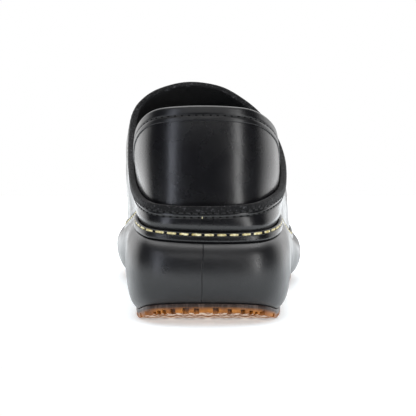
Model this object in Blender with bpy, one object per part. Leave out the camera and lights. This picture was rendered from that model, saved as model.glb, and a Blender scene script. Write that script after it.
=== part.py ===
"""A closed-back kitchen clog for the right foot, standing on its sole.

The shoe points its toe along +Y with its inner (medial) side on -X, and the floor is z = 0.
Every size below is in millimetres, and the meshes are written in metres.
Stations along the shoe are measured forward from the back of the covered midsole.
"""

import math

import bpy
import numpy as np

# Driving dimensions

SHOE_LENGTH = 268.0
BALL_WIDTH = 103.0
WAIST_WIDTH = 80.0
HEEL_WIDTH = 80.0

INSTEP_HEIGHT = 110.2
QUARTER_HEIGHT = 55.0
BACK_HEIGHT = 101.2
THROAT_REACH = 116.5
MOUTH_WIDTH = 76.4

HEEL_FEATHER_HEIGHT = 42.0
BALL_FEATHER_HEIGHT = 22.5
BACK_FEATHER_DIP = 5.0
TOE_FEATHER_LIFT = 12.0
FEATHER_SKEW = 0.28
FEATHER_TILT = 0.027

TOE_SPRING = 17.0
ARCH_LIFT = 6.5
HEEL_BEVEL_RISE = 7.3
HEEL_BEVEL_LENGTH = 25.5

OUTSOLE_THICKNESS = 4.3
OUTSOLE_INSET = 5.2
OUTSOLE_CHAMFER = 0.6
LUG_DEPTH = 2.0
LUG_GROOVE_WIDTH = 2.2
LUG_GROOVE_PITCH = 11.5
LUG_ZIGZAG = 4.3
NOTCH_WIDTH = 2.2
NOTCH_HEIGHT = 2.2
NOTCH_REACH = 4.0
NOTCH_PITCH = 6.4

MIDSOLE_TUCK = 5.2

UPPER_INSET = 6.4
UPPER_WALL = 2.6
TOE_RISE = 30.0
VAMP_LEAD = 69.0
VAMP_DROP = 43.0
VAMP_SPREAD = 10.0
EDGE_BAND = 3.6
EDGE_STEP = 0.5
EDGE_ROUNDING = 0.8

WELT_HEIGHT = 4.4
WELT_THICKNESS = 1.7
WELT_CROWN = 0.2
WELT_BEVEL = 0.5

INSOLE_THICKNESS = 4.0
INSOLE_CUP = 1.4
INSOLE_CUP_WIDTH = 7.0
INSOLE_ROUNDING = 0.9

COUNTER_WALL = 4.6
COUNTER_BULGE = 2.2
COUNTER_RIM_DROP = 0.6
COUNTER_LENGTH_ROWS = 6
BINDING_HEIGHT = 7.2
BINDING_STEP = 0.5

CLEARANCE = 0.3

# Proportions of the heights along the shoe, as shares of its length, and how sharply each curve turns

ARCH_START = 0.31
ARCH_END = 0.53
TOE_SPRING_START = 0.60
TOE_SPRING_POWER = 1.6
HEEL_BEVEL_POWER = 1.1
FEATHER_FALL_START = 0.34
FEATHER_FALL_END = 0.72
FEATHER_LIFT_START = 0.64
FEATHER_LIFT_POWER = 1.7
FEATHER_DIP_END = 0.20

# Proportions of the smaller forms, as shares of the size that each follows

FOOT_FLARE = 0.005
TREAD_REACH = 0.6
ZIGZAG_RUN = 2.2
COUNTER_NECK_HANDLE = 0.36
COUNTER_TOP_HANDLE = 0.40
COUNTER_NECK_BULGE = 0.5
COUNTER_TOP_BULGE = 1.5
COUNTER_END_WALL = 0.5
COUNTER_END_ROWS = 2.5
BINDING_ROUNDING = 0.28
BINDING_STEP_START = 1.2
BINDING_STEP_END = 2.7

# How finely the forms are divided

STEPS_PER_SECTION = 3
COUNTER_STEPS_PER_SECTION = 2
COUNTER_RISE_STEPS = 9
PROFILE_POINTS = 40
WALL_STEPS = 6

# One row for each section, from the back of the heel round either side to the toe.
# along: station on the midsole's outline, as a share of the shoe's length.
# gauge: the width that medial and lateral are shares of.
# mouth_along, mouth_height: the topline's station as a share of THROAT_REACH, and its height
# as a share of the way from QUARTER_HEIGHT to INSTEP_HEIGHT.
# mouth_medial, mouth_lateral: the topline's half widths as shares of MOUTH_WIDTH.
# rise, lead, drop, spread: how far the wall climbs before it turns in, and how it leaves the topline,
# as shares of TOE_RISE, VAMP_LEAD, VAMP_DROP and VAMP_SPREAD.
SECTION_COLUMNS = (
    "along", "gauge", "medial", "lateral",
    "mouth_along", "mouth_height", "mouth_medial", "mouth_lateral",
    "rise", "lead", "drop", "spread",
)
SECTIONS = (
    (0.000, HEEL_WIDTH, 0.035, -0.035, 0.043, 0.000, 0.036, -0.036, 0.18, 0.00, 0.13, 0.02),
    (0.011, HEEL_WIDTH, 0.300, 0.250, 0.069, 0.006, 0.262, 0.200, 0.18, 0.00, 0.13, 0.02),
    (0.043, HEEL_WIDTH, 0.425, 0.405, 0.146, 0.036, 0.395, 0.350, 0.18, 0.00, 0.13, 0.02),
    (0.108, HEEL_WIDTH, 0.488, 0.482, 0.285, 0.086, 0.457, 0.448, 0.20, 0.01, 0.14, 0.02),
    (0.207, HEEL_WIDTH, 0.495, 0.504, 0.446, 0.145, 0.491, 0.487, 0.24, 0.02, 0.16, 0.05),
    (0.320, WAIST_WIDTH, 0.478, 0.508, 0.592, 0.248, 0.510, 0.499, 0.44, 0.03, 0.20, 0.12),
    (0.433, WAIST_WIDTH, 0.495, 0.540, 0.704, 0.374, 0.518, 0.488, 0.67, 0.07, 0.23, 0.26),
    (0.545, BALL_WIDTH, 0.432, 0.464, 0.790, 0.518, 0.518, 0.448, 0.90, 0.17, 0.23, 0.43),
    (0.655, BALL_WIDTH, 0.486, 0.500, 0.854, 0.640, 0.512, 0.390, 1.04, 0.35, 0.26, 0.69),
    (0.757, BALL_WIDTH, 0.505, 0.487, 0.906, 0.748, 0.493, 0.320, 1.12, 0.56, 0.34, 0.86),
    (0.855, BALL_WIDTH, 0.482, 0.418, 0.944, 0.836, 0.446, 0.240, 1.17, 0.78, 0.49, 0.92),
    (0.932, BALL_WIDTH, 0.404, 0.296, 0.973, 0.913, 0.370, 0.153, 1.04, 0.89, 0.76, 0.80),
    (0.981, BALL_WIDTH, 0.258, 0.118, 0.991, 0.970, 0.260, 0.050, 1.01, 0.97, 0.92, 0.40),
    (1.000, BALL_WIDTH, 0.080, -0.080, 1.000, 1.000, 0.115, -0.115, 1.00, 1.00, 1.00, 0.00),
)

# The top edge of the heel counter, at the first sections of the table above.
# along: share of THROAT_REACH. height: share of the way from QUARTER_HEIGHT to BACK_HEIGHT.
# medial, lateral: half widths as shares of MOUTH_WIDTH.
COUNTER_COLUMNS = ("along", "height", "medial", "lateral")
COUNTER_TOPS = (
    (0.084, 1.000, 0.032, -0.032),
    (0.108, 0.984, 0.235, 0.176),
    (0.175, 0.925, 0.362, 0.310),
    (0.300, 0.770, 0.440, 0.408),
    (0.440, 0.580, 0.462, 0.434),
    (0.575, 0.450, 0.470, 0.452),
    (0.680, 0.410, 0.470, 0.452),
)

# The side of the covered midsole, from its lower edge to its shoulder.
# height: share of the midsole's thickness. inset: distance in from its widest outline, as a share of MIDSOLE_TUCK.
MIDSOLE_SIDE_COLUMNS = ("height", "inset")
MIDSOLE_SIDE = (
    (0.00, 1.00),
    (0.05, 0.65),
    (0.14, 0.36),
    (0.30, 0.13),
    (0.50, 0.00),
    (0.70, 0.02),
    (0.84, 0.17),
    (0.94, 0.44),
    (1.00, 0.83),
)

# The grooved stretches of the tread, under the heel and the forefoot, as shares of the shoe's length.
TREAD_COLUMNS = ("start", "end")
TREAD_STRETCHES = (
    (0.052, 0.30),
    (0.540, 0.95),
)

# Colours, as linear RGB, with roughness and metallic value

BLACK_LEATHER = ((0.012, 0.012, 0.014), 0.32, 0.0)
BLACK_COVER = ((0.020, 0.020, 0.022), 0.42, 0.0)
BLACK_RAND = ((0.010, 0.010, 0.011), 0.40, 0.0)
INSOLE_LEATHER = ((0.030, 0.028, 0.027), 0.70, 0.0)
HONEY_RUBBER = ((0.300, 0.120, 0.030), 0.45, 0.0)


# Curves


def row_of(columns, values):
    """A table's row as a dictionary of its named columns."""
    return dict(zip(columns, values))


def smoothstep(value, low, high):
    """0 below low, 1 above high, and an even ramp between."""
    share = np.clip((value - low) / (high - low), 0.0, 1.0)
    return share * share * (3.0 - 2.0 * share)


def spline(knots, places, closed):
    """A cubic spline through knots, one unit apart, read at places; natural ends where it is open."""
    knots = np.asarray(knots, float)
    places = np.asarray(places, float)
    count = len(knots)
    matrix = np.zeros((count, count))
    right = np.zeros_like(knots)
    for i in range(count):
        inner = closed or 0 < i < count - 1
        matrix[i, i] = 4.0 if inner else 1.0
        if inner:
            before = (i - 1) % count
            after = (i + 1) % count
            matrix[i, before] += 1.0
            matrix[i, after] += 1.0
            right[i] = 6.0 * (knots[after] - 2.0 * knots[i] + knots[before])
    bend = np.linalg.solve(matrix, right)
    last = count if closed else count - 1
    first = np.floor(places).astype(int)
    if not closed:
        first = np.clip(first, 0, last - 1)
    share = (places - first)[:, None]
    a = first % count
    b = (first + 1) % count
    back = 1.0 - share
    return (
        back * knots[a]
        + share * knots[b]
        + ((back**3 - back) * bend[a] + (share**3 - share) * bend[b]) / 6.0
    )


def both_sides(lateral_rows, medial_rows):
    """The closed run of knots: the back, up the lateral side, the toe, and back down the medial side."""
    return np.array(lateral_rows + medial_rows[-2:0:-1], float)


SECTION_ROWS = [row_of(SECTION_COLUMNS, values) for values in SECTIONS]
KNOT_COUNT = 2 * (len(SECTION_ROWS) - 1)


def side_knots(side):
    """For one side, each section's outline point, topline point, and the handles of its wall."""
    sign = 1.0 if side == "lateral" else -1.0
    knots = []
    for row in SECTION_ROWS:
        climb = row["mouth_height"] * (INSTEP_HEIGHT - QUARTER_HEIGHT)
        knots.append(
            (
                sign * row[side] * row["gauge"],
                row["along"] * SHOE_LENGTH,
                sign * row["mouth_" + side] * MOUTH_WIDTH,
                row["mouth_along"] * THROAT_REACH,
                QUARTER_HEIGHT + climb,
                row["rise"] * TOE_RISE,
                row["lead"] * VAMP_LEAD,
                row["drop"] * VAMP_DROP,
                row["spread"] * VAMP_SPREAD,
            )
        )
    return knots


KNOTS = both_sides(side_knots("lateral"), side_knots("medial"))
WIDEST = np.linspace(0.0, KNOT_COUNT, 40 * KNOT_COUNT, endpoint=False)
WIDEST_OUTLINE = spline(KNOTS[:, :2], WIDEST, closed=True)
CENTRE = (WIDEST_OUTLINE.max(axis=0) + WIDEST_OUTLINE.min(axis=0)) / 2.0


def plan_normals(places, columns):
    """Outward normals in plan of the closed curve held in two columns of KNOTS."""
    step = 0.01
    ahead = spline(KNOTS[:, columns], places + step, closed=True)
    behind = spline(KNOTS[:, columns], places - step, closed=True)
    along = ahead - behind
    normal = np.stack([along[:, 1], -along[:, 0]], axis=1)
    return normal / np.linalg.norm(normal, axis=1, keepdims=True)


def outline(places, inset):
    """The midsole's widest outline in plan, moved in by inset."""
    columns = [0, 1]
    return spline(KNOTS[:, columns], places, closed=True) - inset * plan_normals(places, columns)


# Heights along the shoe


def tread_height(along):
    """Height of the underside: bevelled at the back, flat, arched at the waist, flat, and sprung at the toe."""
    share = along / SHOE_LENGTH
    heel = np.clip(1.0 - along / HEEL_BEVEL_LENGTH, 0.0, 1.0)
    arch = np.clip((share - ARCH_START) / (ARCH_END - ARCH_START), 0.0, 1.0)
    spring = np.clip((share - TOE_SPRING_START) / (1.0 - TOE_SPRING_START), 0.0, None)
    height = HEEL_BEVEL_RISE * heel**HEEL_BEVEL_POWER + TOE_SPRING * spring**TOE_SPRING_POWER
    return height + ARCH_LIFT * np.sin(math.pi * arch) ** 2


def feather_height(plan):
    """Height of the midsole's top, where the upper stands: it falls to the ball along a skewed line."""
    share = (plan[:, 1] + FEATHER_SKEW * plan[:, 0]) / SHOE_LENGTH
    fall = smoothstep(share, FEATHER_FALL_START, FEATHER_FALL_END)
    lift = np.clip((share - FEATHER_LIFT_START) / (1.0 - FEATHER_LIFT_START), 0.0, None)
    dip = np.clip(1.0 - share / FEATHER_DIP_END, 0.0, None)
    level = HEEL_FEATHER_HEIGHT + fall * (BALL_FEATHER_HEIGHT - HEEL_FEATHER_HEIGHT)
    level += TOE_FEATHER_LIFT * lift**FEATHER_LIFT_POWER - BACK_FEATHER_DIP * dip**2
    return level - FEATHER_TILT * plan[:, 0]


# The upper's wall


def bezier(points, share):
    """A cubic curve through four control points at each share."""
    rest = 1.0 - share
    return (
        rest**3 * points[0]
        + 3.0 * rest**2 * share * points[1]
        + 3.0 * rest * share**2 * points[2]
        + share**3 * points[3]
    )


def wall_controls(places):
    """The four control points of the upper's outer face at each place round the shoe."""
    columns = spline(KNOTS, places, closed=True)
    foot_normal = plan_normals(places, [0, 1])
    mouth_normal = plan_normals(places, [2, 3])
    foot_plan = outline(places, UPPER_INSET)
    foot_height = feather_height(foot_plan) + CLEARANCE
    foot = np.column_stack([foot_plan, foot_height])
    mouth = columns[:, 2:5]
    rise, lead, drop, spread = (columns[:, i] for i in range(5, 9))
    low = foot + np.column_stack([FOOT_FLARE * rise[:, None] * foot_normal, rise])
    high = mouth + np.column_stack([spread[:, None] * mouth_normal, -drop])
    high[:, 1] += lead
    return [foot, low, high, mouth]


def wall_point(controls, share):
    """Points of the upper's outer face, all at one share of the way up."""
    return bezier(controls, np.asarray(share)[..., None])


def wall_shares(controls, distance, from_top):
    """For each section, the share of its curve that lies distance along it from the foot or the topline."""
    steps = np.linspace(0.0, 1.0, 201)
    points = np.array([bezier(controls, step) for step in steps])
    lengths = np.linalg.norm(np.diff(points, axis=0), axis=2)
    run = np.vstack([np.zeros(lengths.shape[1]), np.cumsum(lengths, axis=0)])
    shares = []
    for i in range(run.shape[1]):
        wanted = run[-1, i] - distance if from_top else distance
        shares.append(np.interp(wanted, run[:, i], steps))
    return np.array(shares)


def wall_normals(places, shares):
    """Outward normals of the upper's outer face."""
    turn = 0.02
    climb = 0.004
    left = wall_point(wall_controls(places - turn), shares)
    right = wall_point(wall_controls(places + turn), shares)
    here = wall_controls(places)
    below = wall_point(here, np.clip(shares - climb, 0.0, 1.0))
    above = wall_point(here, np.clip(shares + climb, 0.0, 1.0))
    normal = np.cross(right - left, above - below)
    return normal / np.linalg.norm(normal, axis=1, keepdims=True)


def wall_layer(places, shares, out):
    """The upper's face at these shares, moved out along its normals."""
    return wall_point(wall_controls(places), shares) + out * wall_normals(places, shares)


# Meshes


def new_mesh_object(name, points, faces, material):
    """An object whose place is in its mesh, moved from millimetres at the heel to metres at the shoe's centre."""
    shifted = np.asarray(points, float) - np.array([CENTRE[0], CENTRE[1], 0.0])
    mesh = bpy.data.meshes.new(name)
    mesh.from_pydata([tuple(point) for point in shifted * 0.001], [], faces)
    mesh.validate()
    mesh.update()
    mesh.shade_smooth()
    mesh.set_sharp_from_angle(angle=math.radians(40.0))
    obj = bpy.data.objects.new(name, mesh)
    bpy.context.scene.collection.objects.link(obj)
    if material is not None:
        obj.data.materials.append(material)
    return obj


def swept_solid(name, loops, closed, material):
    """A solid swept round the shoe: loops holds one cross-section after another, each a closed loop."""
    count, size = len(loops), len(loops[0])
    points = np.concatenate(loops)
    faces = []
    for i in range(count if closed else count - 1):
        j = (i + 1) % count
        for k in range(size):
            m = (k + 1) % size
            faces.append((i * size + k, j * size + k, j * size + m, i * size + m))
    if not closed:
        faces.append(tuple(range(size)))
        faces.append(tuple((count - 1) * size + k for k in reversed(range(size))))
    return new_mesh_object(name, points, faces, material)


def slab_solid(name, rings, material):
    """A solid of rings stacked from its underside to its top, closed by triangles that cross from side to side."""
    size = len(rings[0])
    points = np.concatenate(rings)
    faces = []
    for level in range(len(rings) - 1):
        low, high = level * size, (level + 1) * size
        for i in range(size):
            j = (i + 1) % size
            faces.append((low + i, low + j, high + j, high + i))
    top = (len(rings) - 1) * size
    for i in range(size // 2):
        across = [i, i + 1, size - i - 1, (size - i) % size]
        strip = list(dict.fromkeys(across))
        for b, c in zip(strip[1:], strip[2:]):
            faces.append((c, b, strip[0]))
            faces.append((top + strip[0], top + b, top + c))
    return new_mesh_object(name, points, faces, material)


def new_material(name, finish):
    """A plain Principled material from a colour, a roughness and a metallic value."""
    colour, roughness, metallic = finish
    material = bpy.data.materials.new(name)
    material.use_nodes = True
    shader = material.node_tree.nodes["Principled BSDF"]
    shader.inputs["Base Color"].default_value = (*colour, 1.0)
    shader.inputs["Roughness"].default_value = roughness
    shader.inputs["Metallic"].default_value = metallic
    material.diffuse_color = (*colour, 1.0)
    return material


def all_places():
    """Places round the whole shoe, starting at the back seam."""
    return np.linspace(0.0, KNOT_COUNT, KNOT_COUNT * STEPS_PER_SECTION, endpoint=False)


# The pieces


def make_midsole(places):
    """The leather-covered midsole: a barrel-sided platform between outsole and upper."""
    rings = []
    for values in MIDSOLE_SIDE:
        row = row_of(MIDSOLE_SIDE_COLUMNS, values)
        plan = outline(places, row["inset"] * MIDSOLE_TUCK)
        low = tread_height(plan[:, 1]) + OUTSOLE_THICKNESS + CLEARANCE
        high = feather_height(plan)
        rings.append(np.column_stack([plan, low + row["height"] * (high - low)]))
    inner = outline(places, UPPER_INSET)
    rings.append(np.column_stack([inner, feather_height(inner)]))
    return slab_solid("midsole", rings, new_material("black_cover", BLACK_COVER))


def make_cutter(name, boxes):
    """One hidden mesh of eight-cornered blocks, each given as its lower and its upper four corners."""
    points = []
    faces = []
    for low, high in boxes:
        base = len(points)
        points.extend(low)
        points.extend(high)
        count = len(low)
        faces.append(tuple(base + k for k in reversed(range(count))))
        faces.append(tuple(base + count + k for k in range(count)))
        for k in range(count):
            m = (k + 1) % count
            faces.append((base + k, base + m, base + count + m, base + count + k))
    cutter = new_mesh_object(name, points, faces, None)
    cutter.hide_render = True
    cutter.display_type = "WIRE"
    return cutter


def groove_middles(stretch):
    """Where the middle of each groove crosses the shoe, along one grooved stretch."""
    start = stretch["start"] * SHOE_LENGTH
    count = int((stretch["end"] * SHOE_LENGTH - start) / LUG_GROOVE_PITCH) + 1
    return start + LUG_GROOVE_PITCH * np.arange(count)


def groove_cutter():
    """Zigzag grooves across heel and forefoot, each a ribbon that follows the tread's height."""
    boxes = []
    half_width = TREAD_REACH * BALL_WIDTH
    zigzags = 2 * round(half_width / (ZIGZAG_RUN * LUG_ZIGZAG))
    across = np.linspace(-half_width, half_width, zigzags + 1)
    swing = np.where(np.arange(zigzags + 1) % 2 == 0, -0.5, 0.5) * LUG_ZIGZAG
    below = OUTSOLE_THICKNESS
    for values in TREAD_STRETCHES:
        for middle in groove_middles(row_of(TREAD_COLUMNS, values)):
            back = np.column_stack([across, middle + swing - LUG_GROOVE_WIDTH / 2.0])
            front = np.column_stack([across, middle + swing + LUG_GROOVE_WIDTH / 2.0])
            edge = np.vstack([back, front[::-1]])
            height = tread_height(edge[:, 1])
            low = np.column_stack([edge, height - below])
            high = np.column_stack([edge, height + LUG_DEPTH])
            boxes.append((low, high))
    return make_cutter("lug_grooves", boxes)


def notch_places():
    """Places of the notches: the middle of each lug's two ends, and a row round the back and the toe."""
    fine = np.linspace(0.0, KNOT_COUNT / 2, 40 * KNOT_COUNT)
    stretches = [groove_middles(row_of(TREAD_COLUMNS, values)) for values in TREAD_STRETCHES]
    lugs = np.concatenate([middles[:-1] + LUG_GROOVE_PITCH / 2.0 for middles in stretches])
    margin = 0.5 * (LUG_ZIGZAG + LUG_GROOVE_WIDTH + NOTCH_WIDTH)
    back_limit = stretches[0][0] - margin
    toe_limit = stretches[-1][-1] + margin
    places = []
    for side in (1.0, -1.0):
        edge = outline(side * fine, OUTSOLE_INSET)
        run = np.concatenate([[0.0], np.cumsum(np.linalg.norm(np.diff(edge, axis=0), axis=1))])
        places.extend(side * np.interp(lugs, edge[:, 1], fine))
        count = int(run[-1] / NOTCH_PITCH)
        for start in (0.0, run[-1]):
            spaced = np.abs(start - NOTCH_PITCH * (np.arange(count) + 0.5))
            at = side * np.interp(spaced, run, fine)
            inner = outline(at, OUTSOLE_INSET + NOTCH_REACH)[:, 1]
            clear = inner < back_limit if start == 0.0 else inner > toe_limit
            places.extend(at[clear])
    return np.array(places)


def notch_cutter():
    """Short square notches round the lower edge of the outsole's side."""
    places = notch_places()
    middle = outline(places, OUTSOLE_INSET)
    normal = plan_normals(places, [0, 1])
    tangent = np.stack([-normal[:, 1], normal[:, 0]], axis=1)
    boxes = []
    below = OUTSOLE_THICKNESS
    for at, out, turn in zip(middle, normal, tangent):
        inner = at - NOTCH_REACH * out
        outer = at + OUTSOLE_THICKNESS * out
        side = 0.5 * NOTCH_WIDTH * turn
        edge = np.array([inner - side, outer - side, outer + side, inner + side])
        height = tread_height(np.full(4, at[1]))
        low = np.column_stack([edge, height - below])
        high = np.column_stack([edge, height + NOTCH_HEIGHT])
        boxes.append((low, high))
    return make_cutter("edge_notches", boxes)


def make_outsole(places):
    """The rubber outsole, its tread cut by zigzag grooves and its edge by notches."""
    rings = []
    bevelled = OUTSOLE_CHAMFER / OUTSOLE_THICKNESS
    for share, chamfer in ((0.0, OUTSOLE_CHAMFER), (bevelled, 0.0), (1.0, 0.0)):
        plan = outline(places, OUTSOLE_INSET + chamfer)
        height = tread_height(plan[:, 1]) + share * OUTSOLE_THICKNESS
        rings.append(np.column_stack([plan, height]))
    outsole = slab_solid("outsole", rings, new_material("honey_rubber", HONEY_RUBBER))
    for cutter in (groove_cutter(), notch_cutter()):
        cut = outsole.modifiers.new(cutter.name, "BOOLEAN")
        cut.operation = "DIFFERENCE"
        cut.solver = "EXACT"
        cut.object = cutter
    return outsole


def make_upper(places):
    """The upper: one hollow wall from the feather edge to the topline, with a raised raw edge round its mouth."""
    controls = wall_controls(places)
    band_low = wall_shares(controls, EDGE_BAND, from_top=True)
    band_high = wall_shares(controls, EDGE_BAND - EDGE_STEP, from_top=True)
    top = np.ones(len(places))
    foot_level = wall_shares(controls, INSOLE_THICKNESS, from_top=False)
    rises = [foot_level + (band_low - foot_level) * step / WALL_STEPS for step in range(WALL_STEPS + 1)]
    layers = [wall_layer(places, share, 0.0) for share in [0.0 * top, *rises]]
    layers.append(wall_layer(places, band_high, EDGE_STEP))
    near_top = wall_shares(controls, EDGE_ROUNDING, from_top=True)
    layers.append(wall_layer(places, near_top, EDGE_STEP))
    layers.append(wall_layer(places, top, EDGE_STEP - EDGE_ROUNDING))
    layers.append(wall_layer(places, top, EDGE_ROUNDING - UPPER_WALL))
    layers.append(wall_layer(places, near_top, -UPPER_WALL))
    layers += [wall_layer(places, share, -UPPER_WALL) for share in rises[-2::-1]]
    foot = outline(places, UPPER_INSET + UPPER_WALL)
    layers.append(np.column_stack([foot, feather_height(foot) + CLEARANCE]))
    loops = np.stack(layers, axis=1)
    return swept_solid("upper", loops, True, new_material("black_leather", BLACK_LEATHER))


def make_welt(places):
    """The rand: a leather strip round the foot of the upper, which it follows at a small clearance."""
    controls = wall_controls(places)
    heights = [0.0, WELT_HEIGHT / 2.0, WELT_HEIGHT - WELT_BEVEL]
    shares = [wall_shares(controls, height, from_top=False) for height in heights]
    crest = wall_shares(controls, WELT_HEIGHT, from_top=False)
    outer = CLEARANCE + WELT_THICKNESS
    layers = [
        wall_layer(places, shares[0], outer),
        wall_layer(places, shares[1], outer + WELT_CROWN),
        wall_layer(places, shares[2], outer),
        wall_layer(places, crest, outer - WELT_BEVEL),
        wall_layer(places, crest, CLEARANCE),
        wall_layer(places, shares[1], CLEARANCE),
        wall_layer(places, shares[0], CLEARANCE),
    ]
    for layer in (layers[0], layers[-1]):
        layer[:, 2] = feather_height(layer) + CLEARANCE
    loops = np.stack(layers, axis=1)
    return swept_solid("welt", loops, True, new_material("black_rand", BLACK_RAND))


def make_insole(places):
    """The footbed, cupped along its edge, lying on the midsole and following the inside of the upper's wall."""
    controls = wall_controls(places)
    inside = -(UPPER_WALL + CLEARANCE)
    foot = outline(places, UPPER_INSET + UPPER_WALL + CLEARANCE)
    rings = [np.column_stack([foot, feather_height(foot) + CLEARANCE])]
    for height, inset in ((INSOLE_THICKNESS - INSOLE_ROUNDING, 0.0), (INSOLE_THICKNESS, INSOLE_ROUNDING)):
        share = wall_shares(controls, height, from_top=False)
        rings.append(wall_layer(places, share, inside - inset))
    bed = outline(places, UPPER_INSET + UPPER_WALL + CLEARANCE + INSOLE_CUP_WIDTH)
    rings.append(np.column_stack([bed, feather_height(bed) + INSOLE_THICKNESS - INSOLE_CUP]))
    return slab_solid("insole", rings, new_material("insole_leather", INSOLE_LEATHER))


# The heel counter


def counter_places():
    """Places round the back of the shoe, from the counter's medial end to its lateral end."""
    reach = COUNTER_LENGTH_ROWS
    return np.linspace(-reach, reach, 2 * reach * COUNTER_STEPS_PER_SECTION + 1)


def counter_tops(places):
    """The top edge of the counter's outer face."""
    rows = [row_of(COUNTER_COLUMNS, values) for values in COUNTER_TOPS]
    knots = []
    for sign, side, part in ((-1.0, "medial", rows[:0:-1]), (1.0, "lateral", rows)):
        for row in part:
            height = QUARTER_HEIGHT + row["height"] * (BACK_HEIGHT - QUARTER_HEIGHT)
            knots.append((sign * row[side] * MOUTH_WIDTH, row["along"] * THROAT_REACH, height))
    return spline(knots, places + COUNTER_LENGTH_ROWS, closed=False)


def counter_profiles(places):
    """The counter's outer face as one line of points for each place, and how far each stands free of the upper."""
    controls = wall_controls(places)
    inside = -(UPPER_WALL + CLEARANCE)
    base = wall_shares(controls, INSOLE_THICKNESS + CLEARANCE, from_top=False)
    rim = wall_shares(controls, COUNTER_RIM_DROP, from_top=True)
    tops = counter_tops(places)
    normals = plan_normals(places, [2, 3])
    profiles = []
    free = []
    for i, place in enumerate(places):
        shares = np.linspace(base[i], rim[i], PROFILE_POINTS)
        wall = wall_layer(np.full(PROFILE_POINTS, place), shares, inside)
        neck = wall[-1]
        height = tops[i, 2] - neck[2]
        free.append(max(height, 0.0))
        if height < COUNTER_RIM_DROP:
            profiles.append(wall[wall[:, 2] < tops[i, 2]])
            continue
        ahead = (neck - wall[-2]) / np.linalg.norm(neck - wall[-2])
        fullness = COUNTER_BULGE * min(height / (BACK_HEIGHT - QUARTER_HEIGHT), 1.0)
        bulge = np.array([*(fullness * normals[i]), 0.0])
        low = neck + COUNTER_NECK_HANDLE * height * ahead + COUNTER_NECK_BULGE * bulge
        high = tops[i] - np.array([0.0, 0.0, COUNTER_TOP_HANDLE * height]) + COUNTER_TOP_BULGE * bulge
        steps = np.linspace(0.0, 1.0, PROFILE_POINTS)[1:, None]
        profiles.append(np.vstack([wall, bezier([neck, low, high, tops[i]], steps)]))
    return profiles, np.array(free)


def counter_points(profiles, runs):
    """The point on each profile that lies run along it from its base."""
    points = []
    for profile, run in zip(profiles, runs):
        lengths = np.linalg.norm(np.diff(profile, axis=0), axis=1)
        along = np.concatenate([[0.0], np.cumsum(lengths)])
        points.append([np.interp(run, along, profile[:, axis]) for axis in range(3)])
    return np.array(points)


def counter_layer(profiles, runs, out):
    """The counter's face at these distances from its base, moved out along its normals."""
    here = counter_points(profiles, runs)
    step = 0.6
    up = counter_points(profiles, runs + step) - counter_points(profiles, runs - step)
    along = np.gradient(here, axis=0)
    normal = np.cross(along, up)
    normal /= np.linalg.norm(normal, axis=1, keepdims=True)
    return here + np.asarray(out).reshape(-1, 1) * normal


def counter_lengths(profiles):
    """How far each profile runs from its base to its top."""
    return np.array([np.linalg.norm(np.diff(profile, axis=0), axis=1).sum() for profile in profiles])


def counter_walls(places):
    """The counter's thickness at each place: thinned towards both ends."""
    ends = smoothstep(np.abs(places), COUNTER_LENGTH_ROWS - COUNTER_END_ROWS, COUNTER_LENGTH_ROWS)
    return COUNTER_WALL * (1.0 - (1.0 - COUNTER_END_WALL) * ends)


def make_counter():
    """The heel counter: a padded cup inside the back of the upper, cut off below its binding."""
    places = counter_places()
    profiles, _ = counter_profiles(places)
    top = counter_lengths(profiles) - BINDING_HEIGHT - CLEARANCE
    wall = counter_walls(places)
    zero = np.zeros(len(places))
    steps = np.linspace(0.0, 1.0, COUNTER_RISE_STEPS)
    outer = [counter_layer(profiles, step * top, zero) for step in steps]
    inner = [counter_layer(profiles, step * top, -wall) for step in steps[::-1]]
    loops = np.stack(outer + inner, axis=1)
    return swept_solid("heel_counter", loops, False, new_material("counter_leather", BLACK_LEATHER))


def make_binding():
    """The band folded over the counter's top edge: a little thicker than the counter, and round on top."""
    places = counter_places()
    profiles, free = counter_profiles(places)
    top = counter_lengths(profiles)
    step = BINDING_STEP * smoothstep(free / BINDING_HEIGHT, BINDING_STEP_START, BINDING_STEP_END)
    wall = counter_walls(places)
    rounding = BINDING_ROUNDING * wall
    outer = [(BINDING_HEIGHT, step), (BINDING_HEIGHT / 2.0, step), (rounding, step), (0.0, step - rounding)]
    inner = [(0.0, rounding - wall), (rounding, -wall - step), (BINDING_HEIGHT / 2.0, -wall - step)]
    inner.append((BINDING_HEIGHT, -wall - step))
    loops = np.stack([counter_layer(profiles, top - down, out) for down, out in outer + inner], axis=1)
    return swept_solid("counter_binding", loops, False, new_material("binding_leather", BLACK_LEATHER))


def build():
    """Clears the scene and makes every piece of the shoe."""
    for obj in list(bpy.data.objects):
        bpy.data.objects.remove(obj)
    places = all_places()
    make_outsole(places)
    make_midsole(places)
    make_insole(places)
    make_upper(places)
    make_welt(places)
    make_counter()
    make_binding()


build()
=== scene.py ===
"""The looks of a closed-back kitchen clog: polished black leather on a leather-covered platform with a
honey rubber outsole, seen from behind on a white studio floor.

The form is worked out in millimetres at the heel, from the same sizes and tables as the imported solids,
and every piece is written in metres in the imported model's frame.
"""

import math

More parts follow.
